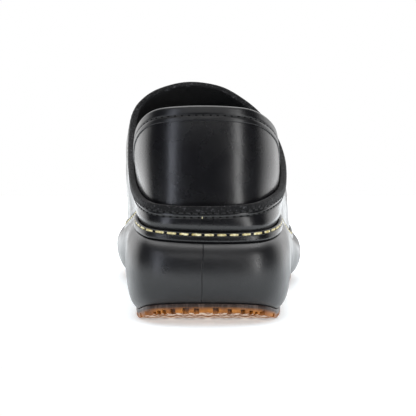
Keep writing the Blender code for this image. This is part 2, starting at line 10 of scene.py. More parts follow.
import bpy
import numpy as np
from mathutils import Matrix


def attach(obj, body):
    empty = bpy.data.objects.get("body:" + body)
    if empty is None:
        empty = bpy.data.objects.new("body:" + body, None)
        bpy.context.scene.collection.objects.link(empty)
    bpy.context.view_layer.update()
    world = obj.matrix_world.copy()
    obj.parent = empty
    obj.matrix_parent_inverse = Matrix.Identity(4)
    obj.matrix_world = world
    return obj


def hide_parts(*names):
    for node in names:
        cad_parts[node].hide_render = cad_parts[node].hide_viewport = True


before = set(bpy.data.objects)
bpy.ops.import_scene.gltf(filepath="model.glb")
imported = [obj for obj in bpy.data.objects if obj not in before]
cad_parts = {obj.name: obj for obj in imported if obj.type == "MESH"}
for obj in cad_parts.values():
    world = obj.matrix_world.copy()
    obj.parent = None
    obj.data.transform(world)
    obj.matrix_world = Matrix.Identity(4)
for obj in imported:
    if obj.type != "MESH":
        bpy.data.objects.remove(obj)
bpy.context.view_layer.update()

# Sizes of the shoe, in millimetres

SHOE_LENGTH = 268.0
BALL_WIDTH = 103.0
WAIST_WIDTH = 80.0
HEEL_WIDTH = 80.0

INSTEP_HEIGHT = 110.2
QUARTER_HEIGHT = 55.0
BACK_HEIGHT = 101.2
THROAT_REACH = 116.5
MOUTH_WIDTH = 76.4

HEEL_FEATHER_HEIGHT = 42.0
BALL_FEATHER_HEIGHT = 22.5
BACK_FEATHER_DIP = 5.0
TOE_FEATHER_LIFT = 12.0
FEATHER_SKEW = 0.28
FEATHER_TILT = 0.027

TOE_SPRING = 17.0
ARCH_LIFT = 6.5
HEEL_BEVEL_RISE = 7.3
HEEL_BEVEL_LENGTH = 25.5

OUTSOLE_THICKNESS = 4.3
OUTSOLE_INSET = 5.2
OUTSOLE_CHAMFER = 0.6
LUG_DEPTH = 2.0
LUG_GROOVE_WIDTH = 2.2
LUG_GROOVE_PITCH = 11.5
LUG_ZIGZAG = 4.3
NOTCH_WIDTH = 2.2
NOTCH_HEIGHT = 2.2
NOTCH_REACH = 4.0
NOTCH_PITCH = 6.4
MIDSOLE_TUCK = 5.2

UPPER_INSET = 6.4
UPPER_WALL = 2.6
TOE_RISE = 30.0
VAMP_LEAD = 69.0
VAMP_DROP = 43.0
VAMP_SPREAD = 10.0
EDGE_BAND = 3.6
EDGE_STEP = 0.5

WELT_HEIGHT = 4.4
WELT_THICKNESS = 1.7
WELT_CHANNEL_WIDTH = 1.3
WELT_CHANNEL_DEPTH = 0.55
LEATHER_TUCK = 0.42
LEATHER_ROLL = 0.28
LEATHER_ROLL_HEIGHT = 8.0

INSOLE_THICKNESS = 4.0
INSOLE_CUP = 1.4
INSOLE_CUP_REACH = 9.0
INSOLE_ROUNDING = 0.9

COUNTER_WALL = 4.6
COUNTER_BULGE = 2.2
COUNTER_LENGTH_ROWS = 6
BINDING_HEIGHT = 7.2
BINDING_STEP = 0.5
COUNTER_RIM_DROP = 0.6

CLEARANCE = 0.3

# Proportions of the heights along the shoe, as shares of its length, and how sharply each curve turns

ARCH_START = 0.31
ARCH_END = 0.53
TOE_SPRING_START = 0.60
TOE_SPRING_POWER = 1.6
HEEL_BEVEL_POWER = 1.1
FEATHER_FALL_START = 0.34
FEATHER_FALL_END = 0.72
FEATHER_LIFT_START = 0.64
FEATHER_LIFT_POWER = 1.7
FEATHER_DIP_END = 0.20

# Proportions of the smaller forms, as shares of the size that each follows

FOOT_FLARE = 0.005
TREAD_REACH = 0.6
ZIGZAG_RUN = 2.2
COUNTER_NECK_HANDLE = 0.36
COUNTER_TOP_HANDLE = 0.40
COUNTER_NECK_BULGE = 0.5
COUNTER_TOP_BULGE = 1.5
COUNTER_END_WALL = 0.5
COUNTER_END_ROWS = 2.5
BINDING_ROUNDING = 0.28
BINDING_STEP_START = 1.2
BINDING_STEP_END = 2.7

# Tables of the form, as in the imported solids

SECTION_COLUMNS = (
    "along", "gauge", "medial", "lateral",
    "mouth_along", "mouth_height", "mouth_medial", "mouth_lateral",
    "rise", "lead", "drop", "spread",
)
SECTIONS = (
    (0.000, HEEL_WIDTH, 0.035, -0.035, 0.043, 0.000, 0.036, -0.036, 0.18, 0.00, 0.13, 0.02),
    (0.011, HEEL_WIDTH, 0.300, 0.250, 0.069, 0.006, 0.262, 0.200, 0.18, 0.00, 0.13, 0.02),
    (0.043, HEEL_WIDTH, 0.425, 0.405, 0.146, 0.036, 0.395, 0.350, 0.18, 0.00, 0.13, 0.02),
    (0.108, HEEL_WIDTH, 0.488, 0.482, 0.285, 0.086, 0.457, 0.448, 0.20, 0.01, 0.14, 0.02),
    (0.207, HEEL_WIDTH, 0.495, 0.504, 0.446, 0.145, 0.491, 0.487, 0.24, 0.02, 0.16, 0.05),
    (0.320, WAIST_WIDTH, 0.478, 0.508, 0.592, 0.248, 0.510, 0.499, 0.44, 0.03, 0.20, 0.12),
    (0.433, WAIST_WIDTH, 0.495, 0.540, 0.704, 0.374, 0.518, 0.488, 0.67, 0.07, 0.23, 0.26),
    (0.545, BALL_WIDTH, 0.432, 0.464, 0.790, 0.518, 0.518, 0.448, 0.90, 0.17, 0.23, 0.43),
    (0.655, BALL_WIDTH, 0.486, 0.500, 0.854, 0.640, 0.512, 0.390, 1.04, 0.35, 0.26, 0.69),
    (0.757, BALL_WIDTH, 0.505, 0.487, 0.906, 0.748, 0.493, 0.320, 1.12, 0.56, 0.34, 0.86),
    (0.855, BALL_WIDTH, 0.482, 0.418, 0.944, 0.836, 0.446, 0.240, 1.17, 0.78, 0.49, 0.92),
    (0.932, BALL_WIDTH, 0.404, 0.296, 0.973, 0.913, 0.370, 0.153, 1.04, 0.89, 0.76, 0.80),
    (0.981, BALL_WIDTH, 0.258, 0.118, 0.991, 0.970, 0.260, 0.050, 1.01, 0.97, 0.92, 0.40),
    (1.000, BALL_WIDTH, 0.080, -0.080, 1.000, 1.000, 0.115, -0.115, 1.00, 1.00, 1.00, 0.00),
)

COUNTER_COLUMNS = ("along", "height", "medial", "lateral")
COUNTER_TOPS = (
    (0.084, 1.000, 0.032, -0.032),
    (0.108, 0.984, 0.235, 0.176),
    (0.175, 0.925, 0.362, 0.310),
    (0.300, 0.770, 0.440, 0.408),
    (0.440, 0.580, 0.462, 0.434),
    (0.575, 0.450, 0.470, 0.452),
    (0.680, 0.410, 0.470, 0.452),
)

# The platform's side: shares of its height, and how far in each lies as a share of MIDSOLE_TUCK.
MIDSOLE_SIDE = (
    (0.00, 1.00),
    (0.05, 0.65),
    (0.14, 0.36),
    (0.30, 0.13),
    (0.50, 0.00),
    (0.70, 0.02),
    (0.84, 0.17),
    (0.94, 0.44),
    (1.00, 0.83),
)

TREAD_COLUMNS = ("start", "end")
TREAD_STRETCHES = (
    (0.052, 0.30),
    (0.540, 0.95),
)

# Notches across the back of the outsole's edge.
# Both columns are shares of NOTCH_PITCH: how far from the back seam, and how wide.
NOTCH_COLUMNS = ("along", "width")
BACK_NOTCHES = (
    (-3.95, 0.24),
    (-3.55, 0.20),
    (-3.20, 0.28),
    (-2.78, 0.30),
    (-2.14, 0.36),
    (-1.20, 0.46),
    (-0.42, 0.38),
    (0.98, 0.42),
    (2.00, 0.34),
    (2.98, 0.34),
    (3.60, 0.28),
    (4.02, 0.22),
    (4.42, 0.24),
)

# Creases of the vamp, each a soft trough (depth below 0) or ridge along a bowed line in plan.
# x0, x1, bow and width are shares of BALL_WIDTH, y0 and y1 of SHOE_LENGTH, and depth is in millimetres.
CREASE_COLUMNS = ("x0", "y0", "x1", "y1", "bow", "width", "depth")
CREASES = (
    (-0.52, 0.585, 0.50, 0.560, 0.10, 0.050, -0.45),
    (-0.52, 0.625, 0.50, 0.600, 0.11, 0.055, 0.30),
    (-0.52, 0.665, 0.50, 0.640, 0.12, 0.045, -0.35),
    (-0.52, 0.700, 0.50, 0.675, 0.12, 0.050, 0.20),
    (-0.52, 0.435, -0.30, 0.520, -0.03, 0.060, -0.30),
    (0.52, 0.450, 0.28, 0.515, 0.03, 0.055, -0.30),
)

# Stitching, in millimetres

WELT_STITCH_PITCH = 5.85
WELT_STITCH_SIZE = (4.6, 1.15, 0.5)
WELT_STITCH_HEIGHT = 3.5
WELT_STITCH_START = 3.2
FINE_STITCH_PITCH = 3.3
FINE_STITCH_SIZE = (2.3, 0.50, 0.35)
# Needle holes are small sunken forms in near-black painted shade
STITCH_HOLE_SIZE = (1.25, 0.85, 0.5)
THREAD_END_SIZE = (0.6, 0.4, 0.4)
BAND_ROW = 3.2
QUARTER_ROW = 5.3
QUARTER_GROOVE = 0.22
BINDING_ROW = 4.6

# How finely the pieces are divided

AROUND_STEPS = 12
ARC_STEPS = 161
FOOT_ROWS = (0.0, 2.0, 3.4, 4.2, 4.8, 5.4, 6.0, 6.6, 7.2, 7.8, 8.4, 9.0)
MIDDLE_ROWS = 56
MIDDLE_END = 6.6
TOP_ROWS = (6.2, 5.8, 5.5, 5.2, 4.8, 4.4, 4.1, 3.85)
LINING_ROWS = 25
LINING_TOP = 1.4
SEAM_OFFSETS = (0.004, 0.008, 0.013, 0.022, 0.040)
SEAM_WIDTH = 0.16
SEAM_DEPTH = 0.24
SEAM_LEAN = 0.030

# How brightly the light table glows under the shoe, dimmed there as a painted shadow, and away from it

FLOOR_GLOW_IN_PAINTED_SHADOW = 0.34
FLOOR_GLOW_AWAY = 1.0

MM = 0.001


# Curves


def row_of(columns, values):
    """A table's row as a dictionary of its named columns."""
    return dict(zip(columns, values))


def smoothstep(value, low, high):
    """0 below low, 1 above high, and an even ramp between."""
    share = np.clip((value - low) / (high - low), 0.0, 1.0)
    return share * share * (3.0 - 2.0 * share)


def spline(knots, places, closed):
    """A cubic spline through knots, one unit apart, read at places; natural ends where it is open."""
    knots = np.asarray(knots, float)
    places = np.asarray(places, float)
    count = len(knots)
    matrix = np.zeros((count, count))
    right = np.zeros_like(knots)
    for i in range(count):
        inner = closed or 0 < i < count - 1
        matrix[i, i] = 4.0 if inner else 1.0
        if inner:
            before = (i - 1) % count
            after = (i + 1) % count
            matrix[i, before] += 1.0
            matrix[i, after] += 1.0
            right[i] = 6.0 * (knots[after] - 2.0 * knots[i] + knots[before])
    bend = np.linalg.solve(matrix, right)
    last = count if closed else count - 1
    first = np.floor(places).astype(int)
    if not closed:
        first = np.clip(first, 0, last - 1)
    share = (places - first)[:, None]
    a = first % count
    b = (first + 1) % count
    back = 1.0 - share
    return (
        back * knots[a]
        + share * knots[b]
        + ((back**3 - back) * bend[a] + (share**3 - share) * bend[b]) / 6.0
    )


def bezier(points, share):
    """A cubic curve through four control points at each share."""
    rest = 1.0 - share
    return (
        rest**3 * points[0]
        + 3.0 * rest**2 * share * points[1]
        + 3.0 * rest * share**2 * points[2]
        + share**3 * points[3]
    )


def run_along(points):
    """How far along an open line of points each of them lies."""
    steps = np.linalg.norm(np.diff(points, axis=0), axis=1)
    return np.concatenate([[0.0], np.cumsum(steps)])


def unit(vectors):
    """Vectors of length one."""
    return vectors / np.linalg.norm(vectors, axis=-1, keepdims=True)


# The last

SECTION_ROWS = [row_of(SECTION_COLUMNS, values) for values in SECTIONS]
KNOT_COUNT = 2 * (len(SECTION_ROWS) - 1)


def side_knots(side):
    """For one side, each section's outline point, topline point, and the handles of its wall."""
    sign = 1.0 if side == "lateral" else -1.0
    knots = []
    for row in SECTION_ROWS:
        climb = row["mouth_height"] * (INSTEP_HEIGHT - QUARTER_HEIGHT)
        knots.append(
            (
                sign * row[side] * row["gauge"],
                row["along"] * SHOE_LENGTH,
                sign * row["mouth_" + side] * MOUTH_WIDTH,
                row["mouth_along"] * THROAT_REACH,
                QUARTER_HEIGHT + climb,
                row["rise"] * TOE_RISE,
                row["lead"] * VAMP_LEAD,
                row["drop"] * VAMP_DROP,
                row["spread"] * VAMP_SPREAD,
            )
        )
    return knots


KNOTS = np.array(side_knots("lateral") + side_knots("medial")[-2:0:-1], float)
WIDEST = np.linspace(0.0, KNOT_COUNT, 40 * KNOT_COUNT, endpoint=False)
WIDEST_OUTLINE = spline(KNOTS[:, :2], WIDEST, closed=True)
CENTRE = (WIDEST_OUTLINE.max(axis=0) + WIDEST_OUTLINE.min(axis=0)) / 2.0


def plan_normals(places, columns):
    """Outward normals in plan of the closed curve held in two columns of KNOTS."""
    step = 0.01
    ahead = spline(KNOTS[:, columns], places + step, closed=True)
    behind = spline(KNOTS[:, columns], places - step, closed=True)
    along = ahead - behind
    return unit(np.stack([along[:, 1], -along[:, 0]], axis=1))


def outline(places, inset):
    """The midsole's widest outline in plan, moved in by inset."""
    inset = np.asarray(inset, float).reshape(-1, 1)
    return spline(KNOTS[:, :2], places, closed=True) - inset * plan_normals(places, [0, 1])


def tread_height(along):
    """Height of the underside: bevelled at the back, arched at the waist, and sprung at the toe."""
    share = along / SHOE_LENGTH
    heel = np.clip(1.0 - along / HEEL_BEVEL_LENGTH, 0.0, 1.0)
    arch = np.clip((share - ARCH_START) / (ARCH_END - ARCH_START), 0.0, 1.0)
    spring = np.clip((share - TOE_SPRING_START) / (1.0 - TOE_SPRING_START), 0.0, None)
    height = HEEL_BEVEL_RISE * heel**HEEL_BEVEL_POWER + TOE_SPRING * spring**TOE_SPRING_POWER
    return height + ARCH_LIFT * np.sin(math.pi * arch) ** 2


def feather_height(plan):
    """Height of the midsole's top, where the upper stands: it dips at the back and falls to the ball."""
    share = (plan[:, 1] + FEATHER_SKEW * plan[:, 0]) / SHOE_LENGTH
    fall = smoothstep(share, FEATHER_FALL_START, FEATHER_FALL_END)
    lift = np.clip((share - FEATHER_LIFT_START) / (1.0 - FEATHER_LIFT_START), 0.0, None)
    dip = np.clip(1.0 - plan[:, 1] / (FEATHER_DIP_END * SHOE_LENGTH), 0.0, None)
    level = HEEL_FEATHER_HEIGHT + fall * (BALL_FEATHER_HEIGHT - HEEL_FEATHER_HEIGHT)
    level += TOE_FEATHER_LIFT * lift**FEATHER_LIFT_POWER - BACK_FEATHER_DIP * dip**2
    return level - FEATHER_TILT * plan[:, 0]


def wall_controls(places):
    """The four control points of the upper's outer face at each place round the shoe."""
    columns = spline(KNOTS, places, closed=True)
    foot_normal = plan_normals(places, [0, 1])
    mouth_normal = plan_normals(places, [2, 3])
    foot_plan = outline(places, UPPER_INSET)
    foot_height = feather_height(foot_plan) + CLEARANCE
    foot = np.column_stack([foot_plan, foot_height])
    mouth = columns[:, 2:5]
    rise, lead, drop, spread = (columns[:, i] for i in range(5, 9))
    low = foot + np.column_stack([FOOT_FLARE * rise[:, None] * foot_normal, rise])
    high = mouth + np.column_stack([spread[:, None] * mouth_normal, -drop])
    high[:, 1] += lead
    return [foot, low, high, mouth]


class Wall:
    """The upper's outer face, read at chosen places round the shoe."""

    turn = 0.02
    climb = 0.004

    def __init__(self, places):
        self.places = places
        self.controls = wall_controls(places)
        self.left = wall_controls(places - self.turn)
        self.right = wall_controls(places + self.turn)
        self.steps = np.linspace(0.0, 1.0, ARC_STEPS)
        points = bezier(self.controls, self.steps[:, None, None])
        lengths = np.linalg.norm(np.diff(points, axis=0), axis=2)
        self.run = np.vstack([np.zeros(len(places)), np.cumsum(lengths, axis=0)])

    def share(self, distance, from_top=False):
        """For each place, the share of its curve that lies distance along it from the foot or the topline."""
        distance = np.broadcast_to(distance, self.places.shape)
        wanted = self.run[-1] - distance if from_top else distance
        return np.array([np.interp(wanted[i], self.run[:, i], self.steps) for i in range(len(wanted))])

    def distance(self, shares):
        """How far these shares lie from the foot along each place's curve."""
        return np.array([np.interp(shares[i], self.steps, self.run[:, i]) for i in range(len(shares))])

    def normals(self, shares):
        """Outward normals at these shares."""
        share = shares[:, None]
        along = bezier(self.right, share) - bezier(self.left, share)
        low = bezier(self.controls, np.clip(share - self.climb, 0.0, 1.0))
        high = bezier(self.controls, np.clip(share + self.climb, 0.0, 1.0))
        return unit(np.cross(along, high - low))

    def layer(self, shares, out=0.0):
        """The face at these shares, moved out along its normals."""
        out = np.broadcast_to(out, shares.shape)[:, None]
        return bezier(self.controls, shares[:, None]) + out * self.normals(shares)


def crease_relief(points):
    """How far the vamp's creases raise or sink each point, in millimetres."""
    relief = np.zeros(len(points))
    for values in CREASES:
        row = row_of(CREASE_COLUMNS, values)
        start = np.array([row["x0"] * BALL_WIDTH, row["y0"] * SHOE_LENGTH])
        end = np.array([row["x1"] * BALL_WIDTH, row["y1"] * SHOE_LENGTH])
        line = end - start
        length = np.linalg.norm(line)
        along = (points[:, :2] - start) @ line / length**2
        across = (points[:, :2] - start) @ np.array([-line[1], line[0]]) / length
        bow = 4.0 * row["bow"] * BALL_WIDTH * along * (1.0 - along)
        fade = smoothstep(along, -0.04, 0.12) * (1.0 - smoothstep(along, 0.88, 1.04))
        relief += row["depth"] * fade * np.exp(-(((across - bow) / (row["width"] * BALL_WIDTH)) ** 2))
    return relief


def foot_relief(distance):
    """The leather near the foot of the upper: tucked in behind the rand, and rolling out just above it."""
    tuck = LEATHER_TUCK * (1.0 - smoothstep(distance, 3.9, 7.4))
    return LEATHER_ROLL * np.exp(-(((distance - LEATHER_ROLL_HEIGHT) / 2.3) ** 2)) - tuck


# The heel counter


def counter_tops(places):
    """The top edge of the counter's outer face."""
    rows = [row_of(COUNTER_COLUMNS, values) for values in COUNTER_TOPS]
    knots = []
    for sign, side, part in ((-1.0, "medial", rows[:0:-1]), (1.0, "lateral", rows)):
        for row in part:
            height = QUARTER_HEIGHT + row["height"] * (BACK_HEIGHT - QUARTER_HEIGHT)
            knots.append((sign * row[side] * MOUTH_WIDTH, row["along"] * THROAT_REACH, height))
    return spline(knots, places + COUNTER_LENGTH_ROWS, closed=False)


class Counter:
    """The counter's outer face, as one line of points for each place, and how far each stands free."""

    points_per_line = 60

    def __init__(self, places):
        self.places = places
        wall = Wall(places)
        base = wall.share(INSOLE_THICKNESS + CLEARANCE)
        rim = wall.share(COUNTER_RIM_DROP, from_top=True)
        inside = -(UPPER_WALL + CLEARANCE)
        steps = np.linspace(0.0, 1.0, self.points_per_line)
        lower = np.stack([wall.layer(base + (rim - base) * step, inside) for step in steps])
        tops = counter_tops(places)
        normals = plan_normals(places, [2, 3])
        self.lines = []
        free = []
        for i in range(len(places)):
            line = lower[:, i]
            neck = line[-1]
            height = tops[i, 2] - neck[2]
            free.append(max(height, 0.0))
            if height < COUNTER_RIM_DROP:
                self.lines.append(line[line[:, 2] < tops[i, 2]])
                continue
            ahead = unit(neck - line[-2])
            fullness = COUNTER_BULGE * min(height / (BACK_HEIGHT - QUARTER_HEIGHT), 1.0)
            bulge = np.array([*(fullness * normals[i]), 0.0])
            low = neck + COUNTER_NECK_HANDLE * height * ahead + COUNTER_NECK_BULGE * bulge
            drop = np.array([0.0, 0.0, COUNTER_TOP_HANDLE * height])
            high = tops[i] - drop + COUNTER_TOP_BULGE * bulge
            upper = bezier([neck, low, high, tops[i]], steps[1:, None])
            self.lines.append(np.vstack([line, upper]))
        self.free = np.array(free)
        self.runs = [run_along(line) for line in self.lines]
        self.length = np.array([run[-1] for run in self.runs])
        ends = smoothstep(np.abs(places), COUNTER_LENGTH_ROWS - COUNTER_END_ROWS, COUNTER_LENGTH_ROWS)
        self.wall = COUNTER_WALL * (1.0 - (1.0 - COUNTER_END_WALL) * ends)
        free = self.free / BINDING_HEIGHT
        self.binding_step = BINDING_STEP * smoothstep(free, BINDING_STEP_START, BINDING_STEP_END)

    def points(self, distances):
        """The point on each line that lies distance along it from its base."""
        found = []
        for line, run, distance in zip(self.lines, self.runs, distances):
            found.append([np.interp(distance, run, line[:, axis]) for axis in range(3)])
        return np.array(found)

    def layer(self, distances, out=0.0):
        """The face at these distances from its base, moved out along its normals."""
        here = self.points(distances)
        up = self.points(distances + 0.8) - self.points(distances - 0.8)
        normal = unit(np.cross(np.gradient(here, axis=0), up))
        return here + np.broadcast_to(out, distances.shape)[:, None] * normal

    def normals(self, distances):
        """Outward normals at these distances from the base."""
        return self.layer(distances, 1.0) - self.layer(distances, 0.0)


# Meshes


def in_frame(points):
    """Points in millimetres at the heel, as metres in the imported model's frame."""
    return (np.asarray(points, float) - np.array([CENTRE[0], CENTRE[1], 0.0])) * MM


def finish_piece(obj, slot, *nodes):
    """The calls that every piece of the shoe needs."""
    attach(obj, "root")
    if nodes:
        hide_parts(*nodes)


def new_piece(name, points, faces, materials, face_materials=None, sharp=50.0):
    """A smooth-shaded mesh object from points in millimetres."""
    mesh = bpy.data.meshes.new(name)
    mesh.from_pydata(in_frame(points).tolist(), [], faces)
    for material in materials:
        mesh.materials.append(material)
    if face_materials is not None:
        mesh.polygons.foreach_set("material_index", np.asarray(face_materials, np.int32))
    mesh.validate()
    mesh.update()
    mesh.shade_smooth()
    mesh.set_sharp_from_angle(angle=math.radians(sharp))
    obj = bpy.data.objects.new(name, mesh)
    bpy.context.scene.collection.objects.link(obj)
    return obj


def loft(name, rows, materials, row_materials, around_closed=True, across_closed=True, sharp=50.0):
    """A skin over rows of points that run round the shoe; row_materials has one index for each strip."""
    size = len(rows[0])
    points = np.concatenate(rows)
    strips = len(rows) if across_closed else len(rows) - 1
    spans = size if around_closed else size - 1
    faces = []
    indices = []
    for r in range(strips):
        low = r * size
        high = ((r + 1) % len(rows)) * size
        for i in range(spans):
            j = (i + 1) % size
            faces.append((low + i, low + j, high + j, high + i))
        indices.extend([row_materials[r]] * spans)
    if not around_closed:
        starts = [r * size for r in range(len(rows))]
        faces.append(tuple(starts))
        faces.append(tuple(start + size - 1 for start in reversed(starts)))
        indices.extend([row_materials[0]] * 2)
    return new_piece(name, points, faces, materials, indices, sharp)


def slab(name, rings, materials, ring_materials, sharp=50.0):
    """A solid of rings stacked upwards, closed below and above by strips from side to side."""
    size = len(rings[0])
    points = np.concatenate(rings)
    faces = []
    indices = []
    for r in range(len(rings) - 1):
        low = r * size
        high = low + size
        for i in range(size):
            j = (i + 1) % size
            faces.append((low + i, low + j, high + j, high + i))
        indices.extend([ring_materials[r]] * size)
    top = (len(rings) - 1) * size
    for i in range(size // 2):
        across = [i, i + 1, size - i - 1, (size - i) % size]
        strip = list(dict.fromkeys(across))
        for b, c in zip(strip[1:], strip[2:]):
            faces.append((c, b, strip[0]))
            faces.append((top + strip[0], top + b, top + c))
            indices.extend([ring_materials[0], ring_materials[-1]])
    return new_piece(name, points, faces, materials, indices, sharp)


def even_places(steps):
    """Places round the whole shoe, the same number to each side."""
    return np.linspace(0.0, KNOT_COUNT, KNOT_COUNT * steps, endpoint=False)


def seam_places(steps):
    """Places round the whole shoe, with extra ones close to the back seam on both sides."""
    offsets = np.array(SEAM_OFFSETS)
    extra = np.concatenate([offsets, KNOT_COUNT - offsets])
    return np.sort(np.concatenate([even_places(steps), extra]))


def rounded_top(rounding, steps):
    """Over a rounded edge, outside first: which face, how far below the top, and how far in from it."""
    for inner in (False, True):
        for number in range(steps + 1):
            turn = 0.5 * math.pi * number / steps
            if inner:
                turn = 0.5 * math.pi - turn
            yield inner, rounding * (1.0 - math.sin(turn)), rounding * (1.0 - math.cos(turn))


# Materials


def new_material(name, color, roughness, **constants):
    """A Principled material and its shader, with values that are the same all over set on the sockets."""
    material = bpy.data.materials.new(name)
    material.use_nodes = True
    shader = material.node_tree.nodes["Principled BSDF"]
    shader.inputs["Base Color"].default_value = (*color, 1.0)
    shader.inputs["Roughness"].default_value = roughness
    for socket, value in constants.items():
        shader.inputs[socket.replace("_", " ")].default_value = value
    material.diffuse_color = (*color, 1.0)
    return material, shader


def add_node(material, kind, inputs=None, **settings):
    """A node with its settings and inputs; an input that is a socket is linked."""
    node = material.node_tree.nodes.new(kind)
    for key, value in settings.items():
        setattr(node, key, value)
    for key, value in (inputs or {}).items():
        if isinstance(value, bpy.types.NodeSocket):
            material.node_tree.links.new(value, node.inputs[key])
        else:
            node.inputs[key].default_value = value
    return node


def object_coordinates(material):
    """The socket of the piece's own coordinates, in metres."""
    return add_node(material, "ShaderNodeTexCoord").outputs["Object"]


def noise(material, vector, scale, detail=3.0, roughness=0.5):
    """The value of a noise texture."""
    node = add_node(
        material,
        "ShaderNodeTexNoise",
        {"Vector": vector, "Scale": scale, "Detail": detail, "Roughness": roughness},
    )
    return node.outputs["Fac"]


def cells(material, vector, scale, feature="F1"):
    """The distance of a Voronoi texture."""
    node = add_node(material, "ShaderNodeTexVoronoi", {"Vector": vector, "Scale": scale}, feature=feature)
    return node.outputs["Distance"]


def spread(material, value, low, high, to_low, to_high, **settings):
    """value, taken from one range to another and held inside it."""
    inputs = {"Value": value, "From Min": low, "From Max": high, "To Min": to_low, "To Max": to_high}
    return add_node(material, "ShaderNodeMapRange", inputs, **settings).outputs["Result"]


def compute(material, operation, *values):
    """The result of a sum on up to three values."""
    return add_node(material, "ShaderNodeMath", dict(enumerate(values)), operation=operation).outputs["Value"]


def axes_of(material, vector):
    """The sockets of a vector's X, Y and Z."""
    return add_node(material, "ShaderNodeSeparateXYZ", {"Vector": vector}).outputs


def blend_colors(material, fac, first, second):
    """first where fac is 0 and second where it is 1."""
    node = add_node(material, "ShaderNodeMix", data_type="RGBA")
    links = material.node_tree.links
    for key, value in ((0, fac), (6, first), (7, second)):
        if isinstance(value, bpy.types.NodeSocket):
            links.new(value, node.inputs[key])
        elif key == 0:
            node.inputs[key].default_value = value
        else:
            node.inputs[key].default_value = (*value, 1.0)
    return node.outputs[2]


def bump(material, height, distance, strength, normal=None):
    """A bumped normal, laid over another where one is given."""
    inputs = {"Height": height, "Distance": distance, "Strength": strength}
    if normal is not None:
        inputs["Normal"] = normal
    return add_node(material, "ShaderNodeBump", inputs).outputs["Normal"]


def connect(material, source, shader, socket):
    """Links a node's output to the shader."""
    material.node_tree.links.new(source, shader.inputs[socket])


def polished_leather(name, color, rough_low, rough_high, grain=0.10):
    """Smooth polished leather: a fine pored grain, a slow unevenness from lasting, and an uneven polish."""
    material, shader = new_material(name, color, rough_low, IOR=1.5)
    place = object_coordinates(material)
    polish = noise(material, place, 70.0, detail=4.0)
    connect(material, spread(material, polish, 0.35, 0.65, rough_low, rough_high), shader, "Roughness")
    lighter = tuple(1.5 * value for value in color)
    wear = noise(material, place, 220.0, detail=5.0, roughness=0.6)
    tint = blend_colors(material, spread(material, wear, 0.45, 0.75, 0.0, 1.0), color, lighter)
    connect(material, tint, shader, "Base Color")
    slow = bump(material, noise(material, place, 45.0, detail=1.0), 0.0006, 0.12)
    pores = bump(material, cells(material, place, 1500.0), 0.0002, grain, slow)
    mottle = bump(material, noise(material, place, 620.0, detail=3.0), 0.00025, 0.13, pores)
    fine = bump(material, noise(material, place, 2600.0, detail=2.0), 0.0001, grain, mottle)
    connect(material, fine, shader, "Normal")
    return material


def suede(name, color, nap_and_glint_color, scale=1500.0, sheen=0.05):
    """Raw or napped leather: rough, granular and flecked, the flecks being the nap's lighter tone and, on the
    raw edge, painted glints.
    """
    material, shader = new_material(name, color, 0.80, IOR=1.35, Sheen_Weight=sheen, Sheen_Roughness=0.5)
    shader.inputs["Specular IOR Level"].default_value = 0.25
    place = object_coordinates(material)
    grains = cells(material, place, scale)
    fibres = noise(material, place, scale * 0.6, detail=6.0, roughness=0.7)
    nap_and_glint_fleck = spread(material, fibres, 0.55, 0.70, 0.0, 1.0)
    connect(material, blend_colors(material, nap_and_glint_fleck, color, nap_and_glint_color), shader, "Base Color")
    coarse = bump(material, grains, 0.0005, 0.7)
    connect(material, bump(material, fibres, 0.0003, 0.6, coarse), shader, "Normal")
    return material


def waxed_thread(name, color, shade, scale):
    """Twisted waxed thread: a bump of plies across the stitch, and painted shade in its colour where the ply
    noise is low.
    """
    material, shader = new_material(name, color, 0.45, IOR=1.45)
    place = object_coordinates(material)
    plies = noise(material, place, scale, detail=4.0, roughness=0.65)
    # Painted shade: where the ply noise is low, the colour falls to the shade colour
    lit = spread(material, plies, 0.35, 0.65, 0.0, 1.0)
    connect(material, blend_colors(material, lit, shade, color), shader, "Base Color")
    connect(material, bump(material, plies, 0.0002, 0.5), shader, "Normal")
    return material


